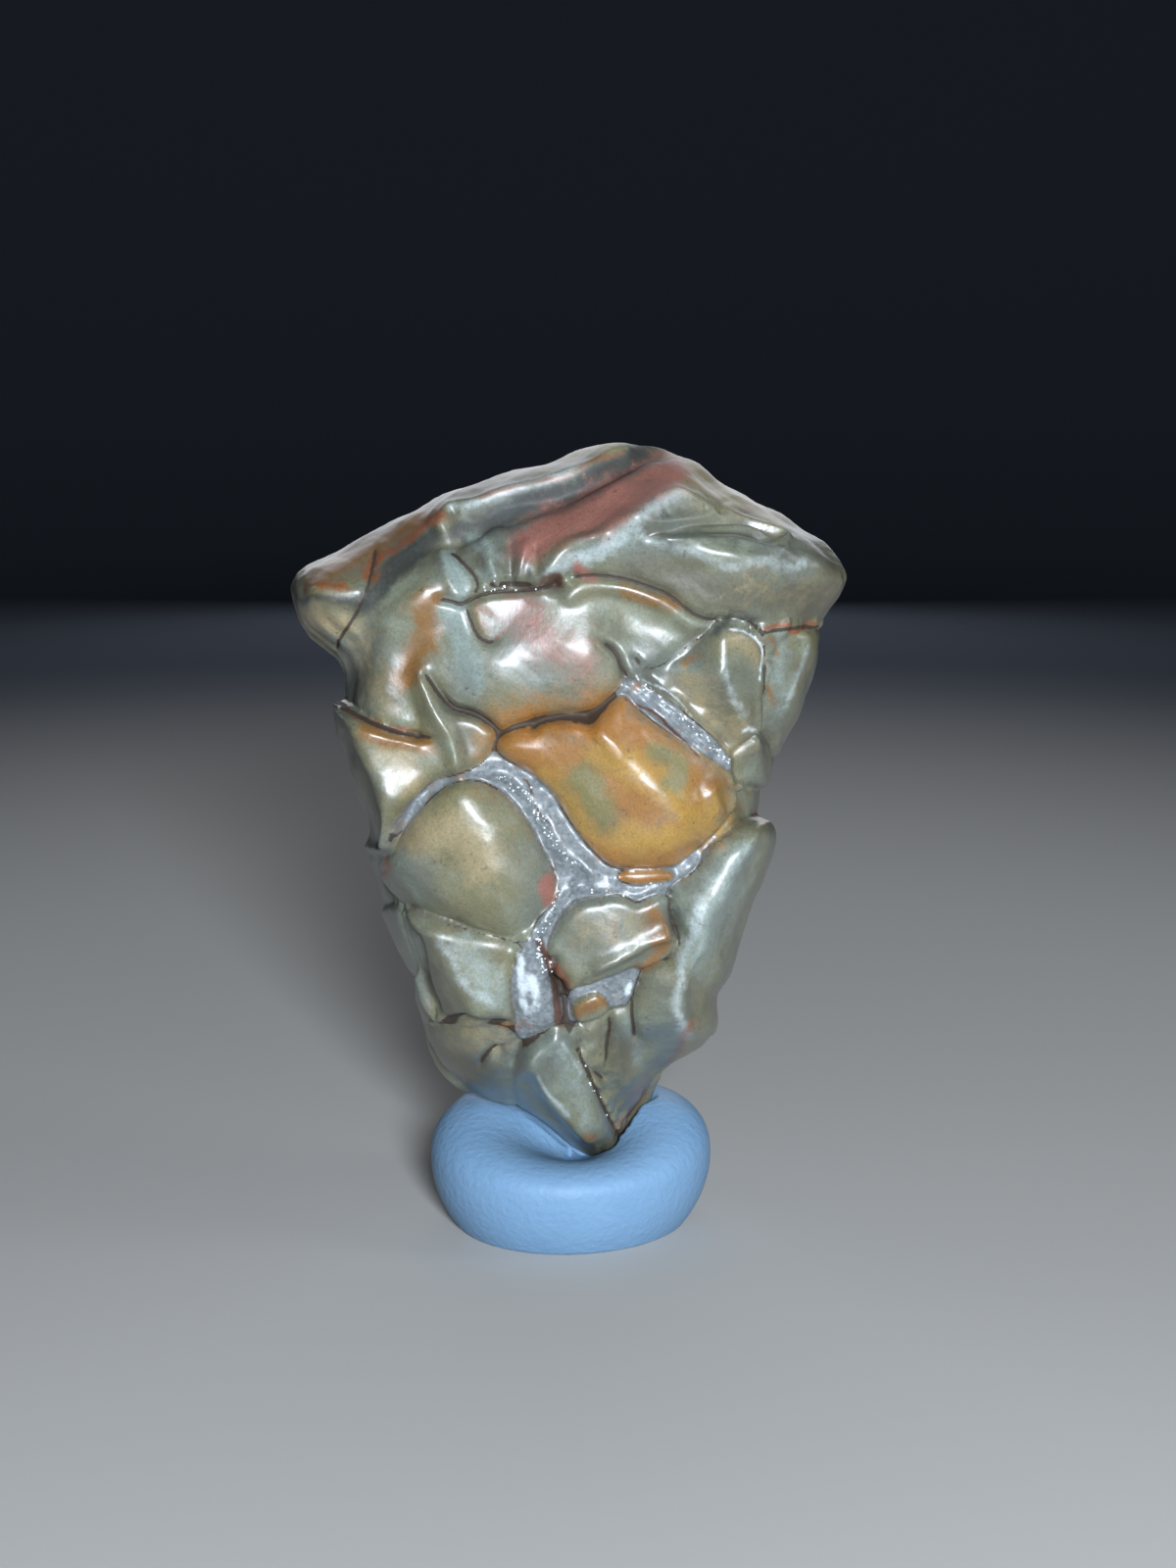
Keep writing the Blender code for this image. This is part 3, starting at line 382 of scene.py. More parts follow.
# Ridges and troughs across the lobes: (line, height, half width), in millimetres
folds = [
    ([(449, 534), (455, 518), (468, 511), (490, 508), (520, 498), (560, 488), (600, 473), (625, 460),
      (648, 451)], 0.85, 0.8),
    ([(478, 526), (500, 516), (522, 508), (560, 500), (590, 491), (612, 479), (634, 464)], -0.3, 0.5),
    ([(470, 550), (525, 527), (580, 508), (630, 485), (662, 463)], -1.3, 1.6),
    ([(562, 582), (598, 556), (634, 531), (661, 514), (678, 502), (692, 495)], 0.9, 2.2),
    ([(592, 560), (609, 548), (634, 531), (661, 514), (678, 502)], 0.4, 1.0),
    ([(694, 499), (708, 506), (726, 517)], 0.5, 0.7),
    ([(506, 544), (498, 565), (506, 592)], 0.7, 0.65),
    ([(521, 556), (523, 592)], -0.5, 0.4),
    ([(537, 558), (531, 574), (528, 590)], 0.5, 0.4),
    ([(546, 560), (550, 588)], -0.4, 0.4),
    ([(604, 548), (582, 552), (566, 570), (557, 592)], 0.8, 0.8),
    ([(652, 530), (672, 541), (690, 550), (715, 557), (740, 563), (762, 569), (782, 566), (800, 560),
      (830, 568), (856, 584)], 1.15, 2.6),
    ([(652, 532), (690, 552), (740, 565), (782, 568), (800, 562)], 0.45, 1.0),
    ([(662, 545), (690, 539), (720, 535), (750, 535), (772, 540), (798, 550)], -0.7, 0.42),
    ([(680, 552), (715, 547), (748, 547), (775, 553), (798, 558)], 0.35, 0.45),
    ([(745, 519), (765, 526), (785, 536), (804, 547)], 0.45, 0.45),
    ([(582, 609), (600, 601), (630, 601), (655, 608), (680, 620), (704, 638)], 0.35, 0.6),
    ([(496, 684), (545, 680), (600, 668)], 1.5, 4.0),
    ([(640, 632), (672, 646), (700, 664)], -0.8, 2.6),
    ([(372, 614), (400, 586), (440, 560)], -0.5, 1.4),
    ([(386, 700), (392, 664), (404, 632), (430, 602)], 0.8, 1.8),
    ([(455, 640), (462, 670), (470, 700)], -0.4, 1.4),
    ([(452, 564), (456, 585), (466, 606)], 0.4, 0.6),
    ([(352, 728), (372, 740), (395, 750), (424, 758)], 0.4, 0.5),
    ([(431, 686), (436, 705), (442, 724), (452, 742), (461, 758), (466, 784)], 0.9, 0.75),
    ([(454, 884), (468, 912)], -0.15, 1.2),
    ([(430, 886), (446, 908)], 0.2, 1.4),
    ([(652, 752), (690, 782), (712, 804)], -0.35, 1.1),
    ([(728, 808), (742, 828)], 0.7, 0.9),
    ([(612, 745), (630, 770)], 0.3, 0.7),
    ([(614, 989), (645, 975), (680, 957)], 0.75, 0.8),
    ([(625, 1040), (632, 1070), (636, 1100)], 0.3, 0.8),
    ([(604, 1056), (612, 1080)], 0.25, 0.7),
    ([(662, 1080), (650, 1110), (640, 1140)], 0.3, 0.8),
    ([(712, 985), (706, 1010), (712, 1040)], -0.3, 0.8),
    ([(738, 980), (733, 1002)], 0.3, 0.4),
    ([(700, 1070), (684, 1084)], 0.3, 0.6),
]

# Open cracks: (line, depth, half width), in millimetres; each fades out at its ends
cracks = [
    ([(440, 611), (458, 613), (471, 616), (486, 609), (505, 604), (530, 603), (555, 600), (580, 592)],
     0.75, 0.3),
    ([(490, 597), (520, 596), (552, 597)], 0.5, 0.4),
    ([(576, 590), (606, 587), (640, 592), (662, 599), (680, 606), (695, 617), (708, 627), (722, 632),
      (742, 630)], 0.7, 0.26),
    ([(452, 558), (468, 570), (483, 586), (487, 600), (479, 613)], 0.35, 0.26),
    ([(474, 612), (478, 628), (484, 643), (491, 652), (502, 655), (512, 648)], 0.35, 0.26),
    ([(384, 550), (380, 578), (376, 600), (368, 618), (359, 634), (347, 652), (343, 672)], 0.22, 0.26),
    ([(340, 714), (360, 727), (378, 737), (400, 746), (420, 750), (450, 754)], 0.6, 0.26),
    ([(429, 680), (440, 697), (450, 712), (463, 723), (477, 726), (490, 731), (505, 744)], 0.7, 0.26),
    ([(608, 652), (622, 660), (630, 670), (635, 684), (646, 698)], 0.8, 0.28),
    ([(643, 662), (652, 676), (662, 684)], 0.4, 0.26),
    ([(534, 750), (552, 738), (574, 733), (606, 733)], 0.5, 0.28),
    ([(622, 1030), (623, 1050), (622, 1070), (619, 1094)], 0.5, 0.26),
    ([(693, 977), (672, 981), (658, 990), (650, 1010), (645, 1030), (647, 1050), (652, 1070)], 0.6, 0.26),
    ([(684, 903), (683, 922), (688, 945), (697, 962)], 0.8, 0.3),
    ([(583, 1054), (592, 1043), (612, 1036)], 0.4, 0.26),
    ([(598, 1086), (612, 1098), (622, 1108)], 0.35, 0.26),
    ([(487, 1096), (493, 1080), (508, 1066), (520, 1062)], 0.5, 0.3),
    ([(584, 1062), (600, 1096), (616, 1130), (636, 1168)], 0.35, 0.26),
    ([(442, 1044), (480, 1043), (526, 1049)], 0.25, 0.26),
    ([(776, 646), (808, 641), (842, 640)], 0.25, 0.26),
]

# Pits: (centre, radius, depth); radius and depth in millimetres
pits = [
    ((565, 596), 0.75, 1.6),
    ((582, 588), 0.55, 0.8),
    ((462, 521), 0.35, 0.45),
    ((509, 1072), 0.9, 0.9),
    ((524, 1064), 0.7, 0.7),
    ((530, 1082), 0.6, 0.7),
    ((568, 1000), 0.7, 1.3),
    ((573, 1022), 0.6, 1.2),
    ((564, 980), 0.5, 0.9),
    ((545, 742), 0.5, 0.4),
    ((600, 737), 0.5, 0.3),
    ((748, 634), 0.8, 0.7),
    ((768, 640), 0.6, 0.6),
    ((683, 523), 0.2, 0.25),
    ((719, 520), 0.2, 0.2),
    ((396, 887), 0.2, 0.15),
]

# Colours over the skin: (line, half width in millimetres, strength). Most are natural stains. Some are
# painted light: the pale strokes along the crests are painted highlights, and the frost on the bright
# quartz patch is partly painted glare, for shine that the lights here don't give. The umber strokes are
# partly painted shade, the near-black band in the trough is painted shade, and some slate strokes are
# painted shade in grooves, a recess and on faces turned from the light.
pigments = {
    "hairline": {
        "colour": "#453d30",
        "strokes": [
            ([(788, 664), (806, 662)], 0.16, 0.8),
            ([(782, 672), (804, 672)], 0.16, 0.8),
            ([(466, 722), (478, 720), (490, 706), (504, 700)], 0.16, 0.6),
            ([(456, 686), (472, 684), (498, 674)], 0.16, 0.8),
            ([(612, 920), (620, 942), (634, 962)], 0.16, 0.7),
            ([(565, 690), (571, 724)], 0.16, 0.5),
            ([(384, 550), (380, 578), (376, 600), (362, 628), (347, 652)], 0.16, 0.5),
        ],
    },
    # Slate-grey bands, partly painted shade in grooves, a recess and on faces turned from the light
    "slateAndPaintedShade": {
        "colour": "#373b38",
        "strokes": [
            ([(372, 612), (402, 583), (446, 550)], 1.1, 1.0),
            ([(303, 609), (330, 610), (362, 611)], 0.4, 0.9),
            ([(470, 542), (500, 530), (540, 517), (585, 502), (630, 482), (656, 462)], 1.2, 1.2),
            ([(534, 572), (540, 586)], 0.5, 0.7),
            ([(350, 730), (366, 775), (384, 835)], 0.9, 0.5),
            ([(690, 545), (740, 545), (785, 548)], 0.6, 0.5),
            ([(726, 640), (745, 628), (770, 633)], 0.5, 0.9),
            ([(606, 1120), (622, 1090), (628, 1060)], 1.4, 0.35),
        ],
    },
    # Dark brown, partly stain and partly painted shade on faces turned from the light
    "umberAndPaintedShade": {
        "colour": "#4c4a3a",
        "strokes": [
            ([(660, 590), (720, 600), (790, 606), (838, 612)], 2.4, 0.85),
            ([(436, 990), (448, 1012), (462, 1034)], 0.9, 0.9),
            ([(440, 1062), (466, 1080), (500, 1100)], 2.0, 0.8),
            ([(353, 760), (364, 792), (378, 830)], 1.0, 0.9),
            ([(626, 1060), (642, 1100), (648, 1130)], 1.8, 0.6),
            ([(806, 655), (802, 700), (790, 740)], 1.2, 0.6),
            ([(700, 700), (722, 718)], 1.6, 0.55),
            ([(560, 708), (600, 700)], 2.0, 0.5),
            ([(398, 690), (402, 716)], 1.6, 0.8),
            ([(745, 960), (730, 1000), (706, 1050)], 0.9, 0.5),
        ],
    },
    # Painted shade: a near-black band along the trough under the top rim
    "paintedTroughShade": {
        "colour": "#2a2d2b",
        "strokes": [
            ([(500, 530), (540, 517), (585, 502), (630, 484), (652, 468)], 1.1, 0.85),
        ],
    },
    "pale": {
        "colour": "#7f8c86",
        "strokes": [
            ([(462, 572), (472, 592), (470, 606)], 0.9, 1.0),
            ([(462, 625), (468, 655), (478, 690)], 1.5, 0.9),
            ([(480, 545), (500, 560), (495, 585)], 1.0, 0.6),
            ([(596, 566), (622, 556), (650, 552)], 1.2, 0.6),
            ([(540, 690), (600, 690)], 2.6, 0.4),
            ([(475, 965), (495, 1000), (505, 1020)], 1.6, 0.6),
            ([(755, 870), (735, 920), (715, 980)], 2.2, 0.7),
            ([(572, 1075), (590, 1110), (600, 1140)], 1.6, 0.5),
            ([(795, 655), (800, 700), (790, 740)], 1.4, 0.5),
            ([(640, 1045), (648, 1075)], 1.0, 0.5),
        ],
    },
    # Painted highlights: pale strokes along the crests where the shine lies
    "paintedHighlight": {
        "colour": "#a7b2b2",
        "strokes": [
            ([(562, 592), (582, 578), (606, 564), (640, 541), (668, 522), (692, 503)], 0.8, 0.6),
            ([(650, 548), (690, 559), (740, 573), (778, 578), (812, 570)], 0.6, 0.45),
            ([(458, 520), (476, 512), (520, 500), (560, 489), (596, 476)], 0.5, 0.5),
            ([(452, 958), (462, 980), (478, 1006), (496, 1022)], 0.5, 0.5),
            ([(549, 1097), (560, 1116), (576, 1136)], 0.22, 0.6),
            ([(575, 1064), (583, 1078), (592, 1096)], 0.25, 0.5),
            ([(716, 930), (702, 966), (691, 1004), (694, 1036), (706, 1054)], 0.6, 0.55),
            ([(758, 868), (744, 892), (730, 914)], 0.9, 0.4),
            ([(738, 680), (748, 706), (760, 736)], 0.4, 0.45),
            ([(822, 660), (816, 690), (802, 724)], 0.35, 0.5),
        ],
    },
    "tan": {
        "colour": "#8f8160",
        "strokes": [
            ([(360, 640), (372, 680), (395, 720)], 1.8, 0.5),
            ([(318, 632), (345, 636)], 1.6, 0.8),
            ([(430, 850), (470, 850), (490, 880)], 2.4, 0.8),
            ([(405, 775), (420, 800)], 1.8, 0.8),
            ([(500, 466), (560, 466), (620, 452)], 1.2, 0.8),
            ([(760, 600), (800, 602), (840, 605)], 2.2, 0.35),
            ([(700, 700), (735, 735), (750, 756)], 2.0, 0.6),
            ([(745, 655), (766, 668)], 1.2, 0.7),
            ([(690, 485), (740, 500), (790, 530)], 1.8, 0.6),
            ([(470, 1062), (510, 1062)], 1.8, 0.5),
            ([(600, 945), (650, 950)], 2.0, 0.5),
        ],
    },
    "ochre": {
        "colour": "#765122",
        "strokes": [
            ([(441, 612), (437, 640), (426, 668), (415, 690)], 1.35, 1.0),
            ([(322, 588), (360, 568), (400, 545), (436, 522)], 1.3, 0.8),
            ([(372, 745), (400, 757), (436, 762)], 0.9, 1.0),
            ([(486, 622), (494, 640)], 0.7, 0.5),
            ([(640, 605), (668, 612), (690, 626)], 1.0, 0.7),
            ([(662, 936), (676, 962)], 1.0, 1.0),
            ([(646, 988), (668, 974)], 0.6, 0.9),
            ([(596, 1030), (612, 1022)], 0.6, 0.9),
            ([(784, 655), (792, 662)], 0.35, 0.7),
            ([(786, 700), (789, 715)], 0.35, 0.7),
            ([(508, 1043), (524, 1046)], 0.4, 0.8),
            ([(700, 672), (716, 668)], 0.7, 0.6),
            ([(596, 1160), (606, 1163)], 0.5, 0.7),
        ],
    },
    "rust": {
        "colour": "#7b472a",
        "strokes": [
            ([(330, 596), (352, 598)], 0.5, 0.8),
            ([(374, 588), (392, 568), (420, 548), (446, 530)], 0.7, 0.9),
            ([(486, 506), (530, 497), (570, 488), (612, 474), (636, 461)], 0.28, 0.6),
            ([(350, 722), (366, 734), (388, 742), (412, 748)], 0.28, 0.9),
            ([(545, 741), (580, 739), (610, 744)], 0.7, 0.9),
            ([(780, 645), (810, 641), (836, 641)], 0.22, 1.0),
            ([(775, 833), (781, 838)], 0.4, 1.0),
            ([(566, 985), (572, 1004), (575, 1022)], 0.75, 1.0),
            ([(628, 940), (634, 956)], 0.18, 0.8),
            ([(490, 617), (505, 620)], 0.5, 0.6),
            ([(660, 1100), (650, 1126), (638, 1150)], 0.7, 0.5),
            ([(712, 1040), (700, 1062), (684, 1084)], 0.4, 0.6),
            ([(396, 880), (398, 890)], 0.4, 0.9),
        ],
    },
    "brick": {
        "colour": "#865448",
        "strokes": [
            ([(540, 556), (575, 536), (620, 516), (660, 496), (682, 480)], 1.9, 1.0),
            ([(556, 908), (562, 898), (556, 920)], 0.75, 1.0),
            ([(530, 620), (550, 650), (590, 672)], 2.4, 0.62),
            ([(590, 582), (606, 586)], 0.5, 1.0),
            ([(504, 652), (512, 645)], 0.35, 0.8),
        ],
    },
    "amber": {
        "colour": "#8c5c20",
        "strokes": [
            ([(540, 765), (590, 800), (640, 820)], 4.6, 1.0),
            ([(610, 735), (660, 770), (710, 815)], 3.4, 1.0),
            ([(640, 720), (632, 730)], 1.0, 1.0),
            ([(600, 850), (650, 870), (700, 850)], 2.6, 1.0),
            ([(640, 896), (678, 895)], 0.8, 1.0),
        ],
    },
    "honey": {
        "colour": "#997837",
        "strokes": [
            ([(560, 800), (600, 840), (650, 860)], 1.8, 0.9),
            ([(610, 775), (660, 790), (720, 840)], 1.8, 0.8),
            ([(660, 858), (700, 848), (730, 822)], 1.3, 0.9),
        ],
    },
    "moss": {
        "colour": "#696741",
        "strokes": [
            ([(588, 792), (606, 806), (618, 830)], 1.5, 0.9),
            ([(672, 770), (690, 780), (684, 800)], 1.2, 0.9),
        ],
    },
}

# Frost and iron on the quartz and along the lobes' lips, laid over the seams. The frost strokes on
# the bright quartz patch and its glint are painted glare.
blooms = {
    # Frost on the quartz, and painted glare on the bright quartz patch
    "frostAndPaintedGlare": {
        "colour": "#ced8db",
        "strokes": [
            ([(532, 980), (529, 996), (530, 1010)], 0.4, 0.9),
            ([(538, 992), (543, 1010), (547, 1030)], 0.5, 0.8),
            ([(529, 1020), (538, 1036)], 0.35, 0.7),
            ([(640, 1000), (636, 1012)], 0.4, 0.9),
            ([(742, 643), (762, 650), (774, 668), (777, 692)], 0.17, 0.75),
            ([(658, 692), (690, 716), (720, 742)], 0.15, 0.55),
            ([(760, 752), (772, 745)], 0.2, 0.5),
        ],
    },
    "iron": {
        "colour": "#4d2c1c",
        "strokes": [
            ([(554, 962), (562, 990), (572, 1020), (574, 1040)], 0.45, 1.0),
            ([(560, 596), (572, 596)], 0.6, 1.0),
            ([(640, 712), (664, 728), (690, 748), (716, 772)], 0.14, 0.9),
            ([(530, 798), (552, 826), (566, 852)], 0.14, 0.8),
        ],
    },
}


# Pitted places that took no wax: (line, half width in millimetres, strength)
bareStone = [
    ([(470, 542), (500, 530), (540, 518), (585, 503), (630, 484), (660, 464)], 1.7, 1.3),
    ([(540, 548), (600, 528), (640, 508), (676, 484)], 1.7, 1.2),
    ([(540, 690), (580, 700), (610, 690)], 1.6, 0.7),
]


def viewAxes():
    forward = np.array((0, math.cos(view["pitch"]), -math.sin(view["pitch"])))
    up = np.array((0, math.sin(view["pitch"]), math.cos(view["pitch"])))
    return forward, up


def fromPhoto(across, down, depth):
    # The point that far back in the scene which the camera sees at this place in the picture
    forward, up = viewAxes()
    centre = view["pictureCentre"]
    ray = forward + np.array((1, 0, 0)) * (across - centre[0]) / view["focalPixels"]
    ray = ray - up * (down - centre[1]) / view["focalPixels"]
    start = view["aim"] - forward * view["distance"]
    return start + ray * (depth - start[1]) / ray[1]


def toPhoto(points):
    # Where the camera sees each point, across and down in the picture
    forward, up = viewAxes()
    offset = points - (view["aim"] - forward * view["distance"])
    away = offset @ forward
    across = view["pictureCentre"][0] + view["focalPixels"] * offset[:, 0] / away
    down = view["pictureCentre"][1] - view["focalPixels"] * (offset @ up) / away
    return np.column_stack((across, down))


def rounded(line, closed=False):
    # A smooth curve through the drawn points
    points = np.array(line, float)
    count = len(points)
    curve = []
    for i in range(count if closed else count - 1):
        if closed:
            before, start, end, after = (points[(i + k) % count] for k in (-1, 0, 1, 2))
        else:
            start, end = points[i], points[i + 1]
            before = points[max(i - 1, 0)]
            after = points[min(i + 2, count - 1)]
        for t in (0, 1 / 3, 2 / 3):
            bend = (2 * start + (end - before) * t
                    + (2 * before - 5 * start + 4 * end - after) * t ** 2
                    + (3 * start - before - 3 * end + after) * t ** 3) / 2
            curve.append(bend)
    curve.append(curve[0] if closed else points[-1])
    return np.array(curve)


def lineDistance(places, curve):
    # How far each place is from the curve, in millimetres on the stone
    nearest = np.full(len(places), 1e9)
    for start, end in zip(curve[:-1], curve[1:]):
        along = end - start
        share = np.clip((places - start) @ along / max(along @ along, 1e-9), 0, 1)
        away = places - start - share[:, None] * along
        nearest = np.minimum(nearest, away[:, 0] ** 2 + away[:, 1] ** 2)
    return np.sqrt(nearest) * pixel / mm


def sideDistance(places, curve):
    # How far each place is from the curve, in millimetres, and whether it is to the curve's right
    nearest = np.full(len(places), 1e9)
    onRight = np.zeros(len(places), bool)
    for start, end in zip(curve[:-1], curve[1:]):
        run = end - start
        offset = places - start
        share = np.clip(offset @ run / max(run @ run, 1e-9), 0, 1)
        away = offset - share[:, None] * run
        gap = away[:, 0] ** 2 + away[:, 1] ** 2
        closer = gap < nearest
        nearest = np.where(closer, gap, nearest)
        onRight = np.where(closer, run[0] * offset[:, 1] > run[1] * offset[:, 0], onRight)
    return np.sqrt(nearest) * pixel / mm, onRight


def insideDistance(places, curve):
    # As lineDistance for a closed curve: positive inside it and negative outside
    inside = np.zeros(len(places), bool)
    across, down = places.T
    for start, end in zip(curve[:-1], curve[1:]):
        crosses = (start[1] > down) != (end[1] > down)
        rise = end[1] - start[1] or 1e-12
        meets = start[0] + (down - start[1]) * (end[0] - start[0]) / rise
        inside ^= crosses & (across < meets)
    return np.where(inside, 1, -1) * lineDistance(places, curve)


def near(places, curve, reach):
    low, high = curve.min(0) - reach, curve.max(0) + reach
    return np.all((places > low) & (places < high), axis=1)


def along(places, line, halfWidth):
    # 1 on a drawn line, falling to 0 either side of it
    curve = rounded(line)
    chosen = near(places, curve, 3 * halfWidth * mm / pixel)
    strength = np.zeros(len(places))
    strength[chosen] = np.exp(-(lineDistance(places[chosen], curve) / halfWidth) ** 2)
    return strength


def fading(places, line, length):
    # 0 at the two ends of a drawn line, rising to 1 that many pixels away from them
    ends = [np.hypot(*(places - np.array(end)).T) for end in (line[0], line[-1])]
    return smoothStep(0, length, ends[0]) * smoothStep(0, length, ends[1])


def smoothStep(low, high, value):
    share = np.clip((value - low) / (high - low), 0, 1)
    return share * share * (3 - 2 * share)


def waves(points, size, seed):
    # A smooth random field, about -1 to 1, whose swells are about this size in metres
    random = np.random.default_rng(seed)
    total = np.zeros(len(points))
    for _ in range(9):
        direction = random.normal(size=3)
        direction *= 2 * math.pi / size / np.linalg.norm(direction)
        total += np.sin(points @ direction * random.uniform(0.6, 1.6) + random.uniform(0, 6.3))
    return total / 3


def verticesOf(mesh):
    places = np.empty(len(mesh.vertices) * 3, np.float32)
    mesh.vertices.foreach_get("co", places)
    return places.reshape(-1, 3).astype(float)


def normalsOf(mesh):
    normals = np.empty(len(mesh.vertices) * 3, np.float32)
    mesh.vertex_normals.foreach_get("vector", normals)
    return normals.reshape(-1, 3).astype(float)


def moveVertices(mesh, places):
    mesh.vertices.foreach_set("co", places.astype(np.float32).ravel())
    mesh.update()


def storeMask(mesh, name, values):
    # One number for each vertex, which the materials read by name
    mask = mesh.attributes.new(name, "FLOAT", "POINT")
    mask.data.foreach_set("value", values.astype(np.float32))


def applied(obj):
    # The object's modifiers made part of its mesh
    graph = bpy.context.evaluated_depsgraph_get()
    mesh = bpy.data.meshes.new_from_object(obj.evaluated_get(graph))
    obj.modifiers.clear()
    obj.data = mesh
    return obj


def insideBody(points, outline):
    # How far inside the smooth body each point is, in millimetres, before the lobes are raised
    places = toPhoto(points)
    margin = insideDistance(places, outline)
    rounding = np.full(len(places), stone["edgeRounding"])
    for line, halfWidth, tighter in sharpEdges:
        rounding += (tighter - rounding) * along(places, line, halfWidth)
    edge = np.clip(margin / rounding, 0, 1)
    swell = np.sqrt(1 - (1 - edge) ** 2)
    front = np.interp(places[:, 1], stone["thicknessRows"], stone["frontThickness"]) * swell
    back = np.interp(places[:, 1], stone["thicknessRows"], stone["backThickness"]) * swell
    depth = points[:, 1] / mm
    return np.minimum(margin, np.minimum(depth + front, back - depth))


def bodyMesh():
    # A ball grown outwards to the rounded outline, then remeshed to even faces
    bpy.ops.mesh.primitive_ico_sphere_add(subdivisions=6, radius=1)
    ball = bpy.context.object
    directions = verticesOf(ball.data) * stone["ballSize"]
    directions /= np.linalg.norm(directions, axis=1)[:, None]
    centre = fromPhoto(*stone["bodyCentre"], 0)
    outline = rounded(silhouette, closed=True)
    low = np.zeros(len(directions))
    high = np.full(len(directions), stone["searchReach"])
    for _ in range(stone["searchSteps"]):
        middle = (low + high) / 2
        within = insideBody(centre + directions * middle[:, None], outline) > 0
        low = np.where(within, middle, low)
        high = np.where(within, high, middle)
    moveVertices(ball.data, centre + directions * low[:, None])
    smooth = ball.modifiers.new("ease", "SMOOTH")
    smooth.factor = 0.5
    smooth.iterations = 2
    remesh = ball.modifiers.new("even faces", "REMESH")
    remesh.mode = "VOXEL"
    remesh.voxel_size = stone["voxel"]
    settle = ball.modifiers.new("no steps", "SMOOTH")
    settle.factor = 0.5
    settle.iterations = 8
    return applied(ball)


def lobeHeight(places, lobe):
    # How far one lobe stands out of the body, in millimetres, or far below it away from the lobe,
    # and how far inside its outline each place is
    height = np.full(len(places), stone["farBelow"])
    margin = np.full(len(places), stone["farBelow"])
    curve = rounded(lobe["outline"], closed=True)
    chosen = near(places, curve, 20)
    here = places[chosen]
    inside = insideDistance(here, curve) + stone["lobeSpread"]
    rim = np.clip(inside / lobe["rim"], 0, 1)
    raised = lobe["lift"] - lobe["drop"] * (1 - np.sqrt(1 - (1 - rim) ** 2))
    for line, slopes, reach, radius in lobe.get("crests", []):
        away, onRight = sideDistance(here, rounded(line))
        away = np.hypot(away, radius) - radius
        slope = stone["crestSlope"] * np.where(onRight, slopes[1], slopes[0])
        raised += reach * (0.28 * sum(slopes) - slope * (1 - np.exp(-away / reach)))
    height[chosen] = raised + np.minimum(inside, 0) * stone["lobeFlank"]
    margin[chosen] = inside
    return height, margin


def frontRelief(points, places, facing):
    # The front's relief in millimetres, with masks of its quartz and its open cracks
    floor = stone["seamFloor"] + 0.18 * waves(points, 1.6 * mm, 3)
    filled = np.zeros(len(points))
    for line, height, halfWidth in seamBanks:
        bank = along(places, line, halfWidth)
        floor += height * bank
        filled = np.maximum(filled, along(places, line, halfWidth * 2.2))
    for line, height, halfWidth in welds:
        floor += height * along(places, line, halfWidth)
    rock = np.full(len(points), stone["farBelow"])
    outside = np.full(len(points), stone["farBelow"])
    patches = np.zeros(len(points))
    for lobe in lobes.values():
        height, margin = lobeHeight(places, lobe)
        patches = np.where(height > rock, float(lobe.get("quartz", 0)), patches)
        rock = np.maximum(rock, height)
        outside = np.maximum(outside, margin)
    relief = np.maximum(rock, floor)
    open_ = smoothStep(0.05, -0.12, outside)
    quartz = np.maximum(patches, open_ * smoothStep(0.2, 0.5, filled))
    crack = open_ * (1 - smoothStep(0.2, 0.5, filled))
    edge = np.exp(-((outside + 0.06) / 0.13) ** 2) * smoothStep(-0.6, 0.5, waves(points, 4 * mm, 8))
    crack = np.maximum(crack, 0.8 * edge)
    for line, height, halfWidth in folds:
        relief = relief + height * facing * along(places, line, halfWidth)
    for line, depth, halfWidth in cracks:
        slit = along(places, line, halfWidth) * fading(places, line, stone["crackFade"])
        relief = relief - depth * slit
        crack = np.maximum(crack, slit ** 2)
    for centre, radius, depth in pits:
        away = np.hypot(*(places - np.array(centre)).T) * pixel / mm
        relief = relief - depth * np.exp(-(away / radius) ** 2)
    return relief, quartz, crack


def placeBackSeeds(outline):
    # A few seeds far apart and then more between them, all on the smooth body's back
    random = np.random.default_rng(stone["backSeed"])
    seeds = []
    for count, spacing in stone["backLobes"]:
        wanted = len(seeds) + count
        while len(seeds) < wanted:
            place = random.uniform(outline.min(0), outline.max(0))
            margin = insideDistance(place[None], outline)[0]
            if margin < 0.5:
                continue
            edge = min(margin / stone["edgeRounding"], 1)
            depth = np.interp(place[1], stone["thicknessRows"], stone["backThickness"])
            depth *= math.sqrt(1 - (1 - edge) ** 2)
            seed = fromPhoto(place[0], place[1], depth * mm) / mm
            if all(np.linalg.norm(seed - other) > spacing for other in seeds):
                seeds.append(seed)
    return np.array(seeds)


